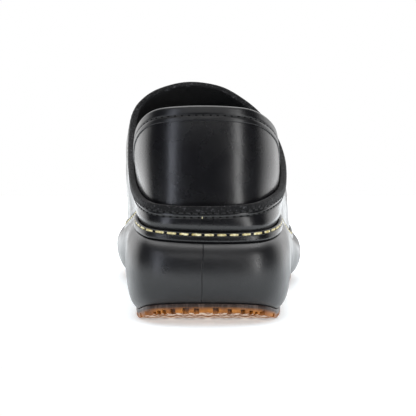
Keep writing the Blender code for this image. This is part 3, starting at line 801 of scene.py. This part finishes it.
def honey_rubber():
    """Honey gum rubber: a dark upper side, amber below, and amber zigzags on the tread between lug faces
    painted pale with the light and reflection of the table below.
    """
    material, shader = new_material("honey_rubber", (0.35, 0.13, 0.03), 0.40, IOR=1.42, Coat_Weight=0.05)
    place = object_coordinates(material)
    height = add_node(material, "ShaderNodeAttribute", attribute_name="above_tread").outputs["Fac"]
    cloud = noise(material, place, 160.0, detail=4.0)
    tall = add_node(material, "ShaderNodeVectorMath", {0: place, 1: (1.0, 1.0, 0.12)}, operation="MULTIPLY")
    streaks = noise(material, tall.outputs["Vector"], 700.0, detail=3.0)
    streaks = spread(material, streaks, 0.50, 0.72, 0.0, 1.0)
    dark = blend_colors(material, streaks, (0.026, 0.011, 0.007), (0.110, 0.070, 0.055))
    clouds = spread(material, cloud, 0.35, 0.65, 0.0, 1.0)
    amber = blend_colors(material, clouds, (0.25, 0.075, 0.008), (0.50, 0.180, 0.022))
    rise = spread(material, height, 0.0012, 0.0029, 0.0, 1.0)
    side = blend_colors(material, rise, amber, dark)
    pale_line = spread(material, height, 0.00418, 0.00428, 0.0, 1.0)
    edged = blend_colors(material, pale_line, side, (0.35, 0.28, 0.24))
    axes = axes_of(material, place)
    swing = compute(material, "PINGPONG", axes["X"], 0.0029)
    slant = compute(material, "MULTIPLY_ADD", swing, 2.6, axes["Y"])
    zigzag = spread(material, compute(material, "PINGPONG", slant, 0.0052), 0.0014, 0.0020, 0.0, 1.0)
    # The pale lug colour is painted light: the glow and reflection of the table, laid on the down-facing
    # faces near the tread over the rubber's amber
    lug = blend_colors(material, zigzag, (0.34, 0.105, 0.010), (0.84, 0.66, 0.52))
    normal = add_node(material, "ShaderNodeNewGeometry").outputs["True Normal"]
    painted_light_facing = spread(material, axes_of(material, normal)["Z"], -0.75, -0.95, 0.0, 1.0)
    low = spread(material, height, 0.0008, 0.0002, 0.0, 1.0)
    tread = compute(material, "MULTIPLY", painted_light_facing, low)
    connect(material, blend_colors(material, tread, edged, lug), shader, "Base Color")
    connect(material, spread(material, cloud, 0.3, 0.7, 0.34, 0.52), shader, "Roughness")
    fine = bump(material, noise(material, place, 900.0, detail=3.0), 0.0002, 0.25)
    slow = bump(material, noise(material, place, 90.0, detail=1.0), 0.0008, 0.15, fine)
    connect(material, slow, shader, "Normal")
    return material


def pinhole_shade():
    """The inside of a needle hole, coloured near black as painted shade."""
    material, shader = new_material("pinhole_shade", (0.004, 0.004, 0.004), 0.9, IOR=1.3)
    place = object_coordinates(material)
    connect(material, bump(material, noise(material, place, 3000.0), 0.0001, 0.3), shader, "Normal")
    return material


LEATHER = polished_leather("black_leather", (0.0048, 0.0048, 0.0058), 0.21, 0.29)
COVER = polished_leather("black_cover", (0.0062, 0.0062, 0.0072), 0.27, 0.37, grain=0.12)
RAND = polished_leather("black_rand", (0.0055, 0.0055, 0.0062), 0.22, 0.34, grain=0.2)
COUNTER_LEATHER = polished_leather("counter_leather", (0.0045, 0.0045, 0.0056), 0.24, 0.30)
BINDING_LEATHER = polished_leather("binding_leather", (0.0055, 0.0055, 0.0065), 0.26, 0.36)
# The pale flecks on the raw edge are painted glints
RAW_EDGE = suede("raw_edge", (0.0075, 0.0075, 0.0082), (0.085, 0.085, 0.090), 1150.0, 0.10)
LINING = suede("lining_suede", (0.0085, 0.0085, 0.0090), (0.020, 0.020, 0.021), 2200.0)
FOOTBED = suede("insole_leather", (0.020, 0.019, 0.018), (0.045, 0.042, 0.040), 2000.0)
CREAM_THREAD = waxed_thread("cream_thread", (0.93, 0.86, 0.55), (0.40, 0.31, 0.08), 560.0)
BLACK_THREAD = waxed_thread("black_thread", (0.014, 0.014, 0.016), (0.005, 0.005, 0.005), 1900.0)
# Near-black painted shade for the needle holes
PINHOLE_SHADE = pinhole_shade()
RUBBER = honey_rubber()


# The upper


def outside_rows(wall):
    """The polished face from the foot to the band, with its creases and the groove of its row of stitches."""
    shares = [wall.share(distance) for distance in FOOT_ROWS]
    low = shares[-1]
    high = wall.share(MIDDLE_END, from_top=True)
    shares += [low + (high - low) * step / MIDDLE_ROWS for step in range(1, MIDDLE_ROWS)]
    grooves = [0.0] * len(shares)
    for distance in TOP_ROWS:
        shares.append(wall.share(distance, from_top=True))
        grooves.append(-QUARTER_GROOVE * math.exp(-(((distance - QUARTER_ROW) / 0.5) ** 2)))
    rows = []
    for share, groove in zip(shares, grooves):
        plain = wall.layer(share)
        relief = crease_relief(plain) + foot_relief(wall.distance(share)) + groove
        rows.append(plain + relief[:, None] * wall.normals(share))
    return rows


def band_rows(wall):
    """The raised raw edge round the mouth, over its rounded top to the inside."""
    section = (
        (EDGE_BAND, 0.02), (EDGE_BAND - 0.04, 0.22), (EDGE_BAND - 0.15, 0.30), (BAND_ROW, 0.20),
        (BAND_ROW - 0.25, 0.34), (BAND_ROW - 0.5, EDGE_STEP), (BAND_ROW - 1.5, EDGE_STEP),
    )
    rows = [wall.layer(wall.share(distance, from_top=True), out) for distance, out in section]
    for inner, down, bend in rounded_top(0.25 * (UPPER_WALL + EDGE_STEP), 4):
        reach = bend - UPPER_WALL if inner else EDGE_STEP - bend
        rows.append(wall.layer(np.minimum(wall.share(down, from_top=True), 1.0), reach))
    return rows


def lining_rows(wall):
    """The inside, from below the band down to the foot."""
    near_top = wall.share(LINING_TOP, from_top=True)
    return [wall.layer(near_top * share, -UPPER_WALL) for share in np.linspace(1.0, 0.0, LINING_ROWS)]


def make_upper():
    """The hollow leather upper: polished outside, a raw raised band round its mouth, and a napped lining."""
    wall = Wall(even_places(AROUND_STEPS))
    leather = outside_rows(wall)
    band = band_rows(wall)
    lining = lining_rows(wall)
    indices = [0] * (len(leather) - 1) + [1] * len(band) + [2] * (len(lining) + 1)
    upper = loft("upper_leather", leather + band + lining, [LEATHER, RAW_EDGE, LINING], indices)
    finish_piece(upper, "black_leather", "upper")


def make_welt():
    """The rand: a leather strip round the foot of the upper, with a stitched channel along its crest."""
    wall = Wall(even_places(AROUND_STEPS))
    outer = CLEARANCE + WELT_THICKNESS
    channel = outer - WELT_CHANNEL_DEPTH
    low = WELT_STITCH_HEIGHT - WELT_CHANNEL_WIDTH / 2.0
    high = WELT_STITCH_HEIGHT + WELT_CHANNEL_WIDTH / 2.0
    section = (
        (0.0, outer - 0.30), (0.08, outer), (0.25, outer + 0.17), (0.9, outer + 0.20), (1.7, outer + 0.14),
        (low - 0.35, outer + 0.06), (low - 0.1, outer - 0.02), (low, outer - 0.15), (low + 0.1, channel),
        (WELT_STITCH_HEIGHT, channel - 0.05), (high - 0.1, channel), (high, outer - 0.3),
        (WELT_HEIGHT - 0.1, outer - 0.4), (WELT_HEIGHT, outer - 0.7), (WELT_HEIGHT, CLEARANCE + 0.4),
        (WELT_HEIGHT - 0.4, 0.1), (2.0, 0.1), (0.0, 0.1),
    )
    rows = []
    for distance, out in section:
        row = wall.layer(wall.share(distance), out)
        if distance == 0.0:
            row[:, 2] = feather_height(row) + CLEARANCE
        rows.append(row)
    welt = loft("welt_strip", rows, [RAND], [0] * len(rows))
    finish_piece(welt, "black_rand", "welt")


# The counter and its binding


def counter_places():
    """Places round the back of the shoe, from the counter's medial end to its lateral end."""
    reach = COUNTER_LENGTH_ROWS
    return np.linspace(-reach, reach, 2 * reach * AROUND_STEPS + 1)


def make_counter():
    """The padded heel counter: polished outside, napped inside."""
    face = Counter(counter_places())
    top = face.length - BINDING_HEIGHT - 0.05
    steps = np.linspace(0.0, 1.0, 49)
    rows = [face.layer(step * top) for step in steps]
    tuck = [face.layer(top + 0.15, -0.35), face.layer(top + 0.15, 0.35 - face.wall)]
    inner = [face.layer(step * top, -face.wall) for step in steps[::-2]]
    rows = rows + tuck + inner
    indices = [0] * len(steps) + [1] * (len(rows) - len(steps))
    counter = loft("heel_counter_pad", rows, [COUNTER_LEATHER, LINING], indices, around_closed=False)
    finish_piece(counter, "counter_leather", "heel_counter")


def make_binding():
    """The folded band along the counter's top edge, with a stitched channel."""
    face = Counter(counter_places())
    step = face.binding_step
    outer = (
        (BINDING_HEIGHT, -0.40), (BINDING_HEIGHT - 0.01, 0.30), (BINDING_HEIGHT - 0.05, 0.80),
        (BINDING_HEIGHT - 0.14, 0.96), (BINDING_HEIGHT - 0.5, 1.0),
        (BINDING_ROW + 1.2, 1.05), (BINDING_ROW + 0.55, 0.95), (BINDING_ROW + 0.25, 0.55),
        (BINDING_ROW, 0.35), (BINDING_ROW - 0.25, 0.55), (BINDING_ROW - 0.55, 0.95),
        (BINDING_ROW - 1.2, 1.05), (2.6, 1.02), (1.9, 1.0),
    )
    rows = []
    for distance, share in outer:
        rows.append(face.layer(face.length - distance, share * step if share >= 0.0 else share))
    for inner, down, bend in rounded_top(BINDING_ROUNDING * face.wall, 6):
        out = bend - face.wall - step if inner else step - bend
        rows.append(face.layer(face.length - down, out))
    for distance in (2.4, 4.0, 5.6, BINDING_HEIGHT - 0.1):
        rows.append(face.layer(face.length - distance, -face.wall - step))
    rows.append(face.layer(face.length - BINDING_HEIGHT, -face.wall + 0.3))
    binding = loft("counter_binding_band", rows, [BINDING_LEATHER], [0] * len(rows), around_closed=False)
    finish_piece(binding, "binding_leather", "counter_binding")


# The platform


def beside_seam(places):
    """How far each place lies from the back seam, in places, with the medial side negative."""
    return (places + KNOT_COUNT / 2) % KNOT_COUNT - KNOT_COUNT / 2


def leaning(places, share):
    """Places moved a little sideways near the back seam, so that the seam leans and wanders as it climbs."""
    move = SEAM_LEAN * (share - 0.5) + 0.006 * math.sin(9.0 * share)
    return places + move * np.exp(-((beside_seam(places) / 0.2) ** 2))


def make_midsole():
    """The leather-covered platform, with the pinched seam that closes its cover at the back."""
    places = seam_places(AROUND_STEPS)
    table = np.array(MIDSOLE_SIDE)
    profile = spline(table, np.linspace(0.0, len(table) - 1.0, 41), closed=False)
    edge = outline(places, 0.0)
    from_seam = np.linalg.norm(edge - outline(np.zeros(1), 0.0), axis=1)
    groove = SEAM_DEPTH * np.exp(-((from_seam / SEAM_WIDTH) ** 2))
    rings = []
    for share, inset in profile:
        moved = leaning(places, share)
        plan = outline(moved, inset * MIDSOLE_TUCK)
        low = tread_height(plan[:, 1]) + OUTSOLE_THICKNESS + CLEARANCE
        high = feather_height(plan)
        sunk = outline(moved, inset * MIDSOLE_TUCK + groove)
        rings.append(np.column_stack([sunk, low + share * (high - low)]))
    inner = outline(places, UPPER_INSET)
    rings.append(np.column_stack([inner, feather_height(inner)]))
    midsole = slab("midsole_cover", rings, [COVER], [0] * len(rings))
    finish_piece(midsole, "black_cover", "midsole")


def make_insole():
    """The cupped footbed."""
    places = even_places(AROUND_STEPS)
    wall = Wall(places)
    inside = -(UPPER_WALL + CLEARANCE)
    foot = outline(places, UPPER_INSET + UPPER_WALL + CLEARANCE)
    rings = [np.column_stack([foot, feather_height(foot) + CLEARANCE])]
    for down, inset in ((2.4, 0.0), (INSOLE_ROUNDING, 0.0), (0.4, 0.15), (0.1, 0.5), (0.0, INSOLE_ROUNDING)):
        rings.append(wall.layer(wall.share(INSOLE_THICKNESS - down), inside - inset))
    for inset in np.linspace(3.0, INSOLE_CUP_REACH, 4):
        bed = outline(places, UPPER_INSET + UPPER_WALL + CLEARANCE + inset)
        sink = INSOLE_CUP * smoothstep(inset, INSOLE_ROUNDING, INSOLE_CUP_REACH)
        rings.append(np.column_stack([bed, feather_height(bed) + INSOLE_THICKNESS - sink]))
    insole = slab("footbed", rings, [FOOTBED], [0] * len(rings))
    finish_piece(insole, "insole_leather", "insole")


# The outsole


def groove_middles(stretch):
    """Where the middle of each groove crosses the shoe, along one grooved stretch."""
    start = stretch["start"] * SHOE_LENGTH
    count = int((stretch["end"] * SHOE_LENGTH - start) / LUG_GROOVE_PITCH) + 1
    return start + LUG_GROOVE_PITCH * np.arange(count)


def block_mesh(name, blocks):
    """A hidden cutter of separate blocks, each given as its lower and upper outline."""
    points = []
    faces = []
    for low, high in blocks:
        base = len(points)
        points.extend(low)
        points.extend(high)
        count = len(low)
        faces.append(tuple(base + k for k in reversed(range(count))))
        faces.append(tuple(base + count + k for k in range(count)))
        for k in range(count):
            m = (k + 1) % count
            faces.append((base + k, base + m, base + count + m, base + count + k))
    return new_piece(name, points, faces, [])


def zigzag_block(middle, across, swing, width, depth):
    """A ribbon across the tread that follows its height."""
    back = np.column_stack([across, middle + swing - width / 2.0])
    front = np.column_stack([across, middle + swing + width / 2.0])
    edge = np.vstack([back, front[::-1]])
    height = tread_height(edge[:, 1])
    return np.column_stack([edge, height - OUTSOLE_THICKNESS]), np.column_stack([edge, height + depth])


def groove_blocks():
    """The main zigzag grooves, and a finer one between each two."""
    half_width = TREAD_REACH * BALL_WIDTH
    zigzags = 2 * round(half_width / (ZIGZAG_RUN * LUG_ZIGZAG))
    across = np.linspace(-half_width, half_width, zigzags + 1)
    swing = np.where(np.arange(zigzags + 1) % 2 == 0, -0.5, 0.5) * LUG_ZIGZAG
    blocks = []
    for values in TREAD_STRETCHES:
        middles = groove_middles(row_of(TREAD_COLUMNS, values))
        for middle in middles:
            blocks.append(zigzag_block(middle, across, swing, LUG_GROOVE_WIDTH, LUG_DEPTH))
        for middle in middles[:-1] + LUG_GROOVE_PITCH / 2.0:
            blocks.append(zigzag_block(middle, across, -swing, 0.5 * LUG_GROOVE_WIDTH, 0.6 * LUG_DEPTH))
    return blocks


def notch_places():
    """Place and width of each notch: at both ends of each lug, round the toe, and across the back."""
    fine = np.linspace(0.0, KNOT_COUNT / 2, 40 * KNOT_COUNT)
    stretches = [groove_middles(row_of(TREAD_COLUMNS, values)) for values in TREAD_STRETCHES]
    lugs = np.concatenate([middles[:-1] + LUG_GROOVE_PITCH / 2.0 for middles in stretches])
    toe_limit = stretches[-1][-1] + 0.5 * (LUG_ZIGZAG + LUG_GROOVE_WIDTH + NOTCH_WIDTH)
    rows = [row_of(NOTCH_COLUMNS, values) for values in BACK_NOTCHES]
    found = []
    for side in (1.0, -1.0):
        edge = outline(side * fine, OUTSOLE_INSET)
        run = run_along(edge)
        found.extend((place, NOTCH_WIDTH) for place in side * np.interp(lugs, edge[:, 1], fine))
        spaced = run[-1] - NOTCH_PITCH * (np.arange(int(run[-1] / NOTCH_PITCH)) + 0.5)
        at = side * np.interp(spaced, run, fine)
        clear = outline(at, OUTSOLE_INSET + NOTCH_REACH)[:, 1] > toe_limit
        found.extend((place, NOTCH_WIDTH) for place in at[clear])
        for row in rows:
            if row["along"] * side > 0.0:
                place = side * np.interp(abs(row["along"]) * NOTCH_PITCH, run, fine)
                found.append((place, row["width"] * NOTCH_PITCH))
    return np.array(found)


def notch_blocks():
    """Short square notches round the lower edge of the outsole's side."""
    found = notch_places()
    places = found[:, 0]
    middle = outline(places, OUTSOLE_INSET)
    normal = plan_normals(places, [0, 1])
    blocks = []
    for at, out, width in zip(middle, normal, found[:, 1]):
        turn = np.array([-out[1], out[0]])
        side = 0.5 * width * turn
        inner = at - NOTCH_REACH * out
        outer = at + OUTSOLE_THICKNESS * out
        edge = np.array([inner - side, outer - side, outer + side, inner + side])
        height = tread_height(np.full(4, at[1]))
        low = np.column_stack([edge, height - OUTSOLE_THICKNESS])
        blocks.append((low, np.column_stack([edge, height + min(NOTCH_HEIGHT, 0.8 * width)])))
    return blocks


def make_outsole():
    """The honey rubber outsole, with its zigzag tread and notched edge."""
    places = even_places(AROUND_STEPS)
    rings = []
    for share, inset in (
        (0.0, OUTSOLE_CHAMFER), (0.07, 0.25), (0.16, 0.05), (0.45, 0.0),
        (0.75, -0.05), (0.90, 0.0), (0.97, 0.12), (1.0, 0.4),
    ):
        plan = outline(places, OUTSOLE_INSET + inset)
        height = tread_height(plan[:, 1]) + share * OUTSOLE_THICKNESS
        rings.append(np.column_stack([plan, height]))
    base = slab("outsole_base", rings, [RUBBER], [0] * len(rings))
    cutters = [block_mesh("tread_grooves", groove_blocks()), block_mesh("edge_notches", notch_blocks())]
    for cutter in cutters:
        cut = base.modifiers.new(cutter.name, "BOOLEAN")
        cut.operation = "DIFFERENCE"
        cut.solver = "EXACT"
        cut.use_self = True
        cut.object = cutter
    outsole = baked_copy("outsole_rubber", base, [RUBBER])
    for helper in [base, *cutters]:
        bpy.data.objects.remove(helper)
    points = np.empty(3 * len(outsole.data.vertices), np.float32)
    outsole.data.vertices.foreach_get("co", points)
    points = points.reshape(-1, 3) / MM
    above = (points[:, 2] - tread_height(points[:, 1] + CENTRE[1])) * MM
    attribute = outsole.data.attributes.new("above_tread", "FLOAT", "POINT")
    attribute.data.foreach_set("value", above.astype(np.float32))
    outsole.data.shade_smooth()
    outsole.data.set_sharp_from_angle(angle=math.radians(35.0))
    finish_piece(outsole, "honey_rubber", "outsole")


def baked_copy(name, source, materials):
    """A plain mesh object of what source's modifiers make."""
    graph = bpy.context.evaluated_depsgraph_get()
    mesh = bpy.data.meshes.new_from_object(source.evaluated_get(graph))
    mesh.name = name
    mesh.materials.clear()
    for material in materials:
        mesh.materials.append(material)
    obj = bpy.data.objects.new(name, mesh)
    bpy.context.scene.collection.objects.link(obj)
    return obj


# Stitches


def stitch_form(name, size, plies):
    """One stitch as a small rounded bar along X, its thread wound in plies, sinking at both ends."""
    length, width, height = size
    rings = 13
    sides = 12
    points = []
    for r in range(1, rings):
        share = -1.0 + 2.0 * r / rings
        full = (1.0 - abs(share) ** 12.0) ** (1.0 / 2.6)
        sink = -0.55 * height * abs(share) ** 12
        for k in range(sides):
            turn = 2.0 * math.pi * k / sides
            ply = 1.0 + 0.10 * plies * math.cos(2.0 * turn + 5.0 * share)
            y = 0.5 * width * full * ply * math.cos(turn)
            z = 0.5 * height * full * ply * math.sin(turn) + sink
            points.append((0.5 * length * share, y, z))
    points.append((-0.5 * length, 0.0, -0.6 * height))
    points.append((0.5 * length, 0.0, -0.6 * height))
    faces = []
    last = (rings - 2) * sides
    for k in range(sides):
        m = (k + 1) % sides
        for r in range(rings - 2):
            low = r * sides
            faces.append((low + m, low + k, low + sides + k, low + sides + m))
        faces.append((len(points) - 2, k, m))
        faces.append((len(points) - 1, last + m, last + k))
    mesh = bpy.data.meshes.new(name)
    mesh.from_pydata((np.array(points) * MM).tolist(), [], faces)
    mesh.update()
    obj = bpy.data.objects.new(name, mesh)
    bpy.context.scene.collection.objects.link(obj)
    return obj


def stitching_tree():
    """Nodes that set a stitch at even steps along a path, lying along it with its back to the leather."""
    tree = bpy.data.node_groups.new("stitching", "GeometryNodeTree")
    for name, in_out, kind in (
        ("Geometry", "INPUT", "Geometry"),
        ("Stitches", "INPUT", "Int"),
        ("Stitch", "INPUT", "Object"),
        ("Unevenness", "INPUT", "Float"),
        ("Thread", "INPUT", "Material"),
        ("Geometry", "OUTPUT", "Geometry"),
    ):
        tree.interface.new_socket(name, in_out=in_out, socket_type="NodeSocket" + kind)
    kinds = {
        "source": "NodeGroupInput",
        "result": "NodeGroupOutput",
        "to_curve": "GeometryNodeMeshToCurve",
        "resample": "GeometryNodeResampleCurve",
        "normal": "GeometryNodeInputNamedAttribute",
        "tangent": "GeometryNodeInputTangent",
        "rotation": "FunctionNodeAxesToRotation",
        "form": "GeometryNodeObjectInfo",
        "place": "GeometryNodeInstanceOnPoints",
        "uneven": "FunctionNodeRandomValue",
        "less": "ShaderNodeMath",
        "more": "ShaderNodeMath",
        "realize": "GeometryNodeRealizeInstances",
        "smooth": "GeometryNodeSetShadeSmooth",
        "paint": "GeometryNodeSetMaterial",
    }
    made = {name: tree.nodes.new(kind) for name, kind in kinds.items()}
    made["normal"].data_type = "FLOAT_VECTOR"
    made["normal"].inputs["Name"].default_value = "leather_normal"
    made["rotation"].primary_axis = "X"
    made["rotation"].secondary_axis = "Z"
    made["uneven"].data_type = "FLOAT"
    made["uneven"].inputs["Seed"].default_value = 7
    for name, operation in (("less", "SUBTRACT"), ("more", "ADD")):
        made[name].operation = operation
        made[name].inputs[0].default_value = 1.0
    for start, out, end, into in (
        ("source", "Geometry", "to_curve", "Mesh"),
        ("to_curve", "Curve", "resample", "Curve"),
        ("source", "Stitches", "resample", "Count"),
        ("resample", "Curve", "place", "Points"),
        ("source", "Stitch", "form", "Object"),
        ("form", "Geometry", "place", "Instance"),
        ("tangent", "Tangent", "rotation", "Primary Axis"),
        ("normal", "Attribute", "rotation", "Secondary Axis"),
        ("rotation", "Rotation", "place", "Rotation"),
        ("source", "Unevenness", "less", 1),
        ("source", "Unevenness", "more", 1),
        ("less", "Value", "uneven", 2),
        ("more", "Value", "uneven", 3),
        ("uneven", 1, "place", "Scale"),
        ("place", "Instances", "realize", "Geometry"),
        ("realize", "Geometry", "smooth", "Geometry"),
        ("smooth", "Geometry", "paint", "Geometry"),
        ("source", "Thread", "paint", "Material"),
        ("paint", "Geometry", "result", "Geometry"),
    ):
        tree.links.new(made[start].outputs[out], made[end].inputs[into])
    return tree


STITCHING = stitching_tree()


def sew(name, path, normals, closed, pitch, form, thread, slot, unevenness=0.05):
    """A row of stitches along a path of points in millimetres, as one plain mesh."""
    mesh = bpy.data.meshes.new(name + "_path")
    count = len(path)
    edges = [(i, (i + 1) % count) for i in range(count if closed else count - 1)]
    mesh.from_pydata(in_frame(path).tolist(), edges, [])
    attribute = mesh.attributes.new("leather_normal", "FLOAT_VECTOR", "POINT")
    attribute.data.foreach_set("vector", np.asarray(normals, np.float32).ravel())
    carrier = bpy.data.objects.new(name + "_path", mesh)
    bpy.context.scene.collection.objects.link(carrier)
    length = run_along(np.vstack([path, path[:1]]) if closed else path)[-1]
    modifier = carrier.modifiers.new("stitching", "NODES")
    modifier.node_group = STITCHING
    values = {
        "Stitches": round(length / pitch) + (0 if closed else 1),
        "Stitch": form,
        "Unevenness": unevenness,
        "Thread": thread,
    }
    for item in STITCHING.interface.items_tree:
        if item.in_out == "INPUT" and item.name in values:
            modifier[item.identifier] = values[item.name]
    row = baked_copy(name, carrier, [thread])
    bpy.data.objects.remove(carrier)
    finish_piece(row, slot)
    return row


def started_on(path, normals, distance, closed):
    """The same path started this distance further on: half a stitch on, it runs between the stitches."""
    ends = np.vstack([path, path[:1]]) if closed else path
    turns = np.vstack([normals, normals[:1]]) if closed else normals
    run = run_along(ends)
    if closed:
        wanted = (np.linspace(0.0, run[-1], len(path), endpoint=False) + distance) % run[-1]
    else:
        wanted = np.linspace(distance, run[-1] - distance, len(path))
    moved = np.stack([np.interp(wanted, run, ends[:, axis]) for axis in range(3)], axis=1)
    turned = np.stack([np.interp(wanted, run, turns[:, axis]) for axis in range(3)], axis=1)
    return moved, unit(turned)


def sew_row(name, path, normals, closed, pitch, form, thread, slot, sink):
    """A row of stitches, and between them the needle holes, sunk a little deeper and coloured near black as
    painted shade.
    """
    sew(name + "_stitches", path, normals, closed, pitch, form, thread, slot)
    hole = stitch_form("needle_hole", STITCH_HOLE_SIZE, 0.0)
    between, turned = started_on(path - sink * normals, normals, pitch / 2.0, closed)
    sew(name + "_needle_holes", between, turned, closed, pitch, hole, PINHOLE_SHADE, slot)
    bpy.data.objects.remove(hole)


def make_stitches():
    """The cream stitches over the rand, and the black rows round the topline and the binding."""
    bold = stitch_form("bold_stitch", WELT_STITCH_SIZE, 1.0)
    fine = stitch_form("fine_stitch", FINE_STITCH_SIZE, 0.6)
    wall = Wall(even_places(AROUND_STEPS))
    share = wall.share(WELT_STITCH_HEIGHT)
    channel = CLEARANCE + WELT_THICKNESS - WELT_CHANNEL_DEPTH
    path = wall.layer(share, channel + 0.04)
    path, normals = started_on(path, wall.normals(share), WELT_STITCH_START, True)
    sew_row("welt", path, normals, True, WELT_STITCH_PITCH, bold, CREAM_THREAD, "black_rand", 0.07)
    for name, distance, out in (("band", BAND_ROW, 0.36), ("quarter", QUARTER_ROW, -0.08)):
        share = wall.share(distance, from_top=True)
        path = wall.layer(share, out)
        normals = wall.normals(share)
        sew_row(name, path, normals, True, FINE_STITCH_PITCH, fine, BLACK_THREAD, "black_leather", 0.02)
    face = Counter(counter_places())
    distances = face.length - BINDING_ROW
    path = face.layer(distances, 0.35 * face.binding_step + 0.12)
    normals = face.normals(distances)
    sew_row("binding", path, normals, False, FINE_STITCH_PITCH, fine, BLACK_THREAD, "binding_leather", 0.1)
    tuft = stitch_form("tuft", THREAD_END_SIZE, 0.0)
    rises = [wall.share(QUARTER_ROW + step, from_top=True) for step in (0.2, -0.2)]
    loose = np.array([wall.layer(rise, 0.05)[0] for rise in rises])
    outwards = np.array([wall.normals(rise)[0] for rise in rises])
    sew("thread_end", loose, outwards, False, 0.4, tuft, CREAM_THREAD, "black_leather")
    for form in (bold, fine, tuft):
        bpy.data.objects.remove(form)


# The studio


def make_floor():
    """A white light table just under the sole, its glow dimmed close to the shoe as a painted shadow, and
    ending short of the camera.
    """
    mesh = bpy.data.meshes.new("studio_floor")
    near, far, side = -0.235, 0.6, 0.24
    drop = -0.0002
    corners = [(-side, near, drop), (side, near, drop), (side, far, drop), (-side, far, drop)]
    mesh.from_pydata(corners, [], [(0, 1, 2, 3)])
    floor = bpy.data.objects.new("studio_floor", mesh)
    bpy.context.scene.collection.objects.link(floor)
    material, shader = new_material("white_floor", (0.77, 0.80, 0.81), 0.7, IOR=1.2)
    shader.inputs["Emission Color"].default_value = (1.0, 1.0, 1.0, 1.0)
    place = object_coordinates(material)
    away = add_node(material, "ShaderNodeVectorMath", {0: place}, operation="LENGTH").outputs["Value"]
    # Dimmer glow within about 0.15 m of the shoe, full by 0.23 m: a painted shadow, added to the real cast
    # shadow on the table's diffuse colour
    glow_with_painted_shadow = spread(material, away, 0.15, 0.23, FLOOR_GLOW_IN_PAINTED_SHADOW, FLOOR_GLOW_AWAY)
    connect(material, glow_with_painted_shadow, shader, "Emission Strength")
    shade = blend_colors(material, noise(material, place, 3.0), (0.74, 0.79, 0.82), (0.76, 0.81, 0.84))
    connect(material, shade, shader, "Base Color")
    mesh.materials.append(material)


def area_light(name, location, target, size, power, color=(1.0, 1.0, 1.0)):
    """A rectangular softbox that faces a point."""
    light = bpy.data.lights.new(name, "AREA")
    light.shape = "RECTANGLE"
    light.size, light.size_y = size
    light.energy = power
    light.color = color
    obj = bpy.data.objects.new(name, light)
    bpy.context.scene.collection.objects.link(obj)
    obj.location = location
    direction = np.array(target) - np.array(location)
    heading = math.atan2(direction[1], direction[0]) - math.pi / 2.0
    tilt = math.atan2(math.hypot(direction[0], direction[1]), -direction[2])
    obj.rotation_euler = (tilt, 0.0, heading)
    return obj


def make_lights():
    """A softbox overhead, two tall ones and a weak wide one behind the camera, and a white surround."""
    aim = (0.0, 0.0, 0.06)
    area_light("overhead_softbox", (0.0, 0.35, 2.2), aim, (2.6, 2.2), 39.0)
    area_light("left_softbox", (-1.55, -2.0, 0.1), aim, (0.30, 2.6), 15.6, (0.84, 0.88, 1.0))
    area_light("right_softbox", (1.75, -1.9, 0.1), aim, (0.50, 2.6), 26.0)
    area_light("camera_softbox", (0.0, -2.1, 0.95), aim, (1.8, 0.45), 5.6)
    world = bpy.data.worlds.new("studio")
    bpy.context.scene.world = world
    world.use_nodes = True
    axes = axes_of(world, add_node(world, "ShaderNodeTexCoord").outputs["Generated"])
    ahead, far_ahead, above = (
        spread(world, axes[axis], low, high, dim, bright, interpolation_type="SMOOTHSTEP")
        for axis, low, high, dim, bright in (
            ("Y", 0.12, 0.68, 0.03, 1.95),
            ("Y", 0.84, 0.99, 0.0, 0.95),
            ("Z", 0.55, 0.92, 0.03, 1.45),
        )
    )
    white = compute(world, "MAXIMUM", compute(world, "SUBTRACT", ahead, far_ahead), above)
    camera_ray = add_node(world, "ShaderNodeLightPath").outputs["Is Camera Ray"]
    background = world.node_tree.nodes["Background"]
    background.inputs["Color"].default_value = (1.0, 1.0, 1.0, 1.0)
    connect(world, compute(world, "MAXIMUM", white, camera_ray), background, "Strength")


def make_camera():
    """The photograph's view: from straight behind and a little above, with a long lens."""
    focal_pixels = 1758.6
    image_width = 416
    horizon_row = 53.4
    camera = bpy.data.cameras.new("camera")
    camera.sensor_width = 36.0
    camera.lens = focal_pixels / image_width * camera.sensor_width
    obj = bpy.data.objects.new("camera", camera)
    bpy.context.scene.collection.objects.link(obj)
    obj.location = (0.0, -0.934, 0.125)
    pitch = math.atan2(image_width / 2 - horizon_row, focal_pixels)
    obj.rotation_euler = (math.pi / 2.0 - pitch, 0.0, 0.0)
    bpy.context.scene.camera = obj


make_camera()
make_floor()
make_lights()
make_upper()
make_welt()
make_counter()
make_binding()
make_midsole()
make_insole()
make_outsole()
make_stitches()

bpy.context.scene.view_settings.view_transform = "Standard"
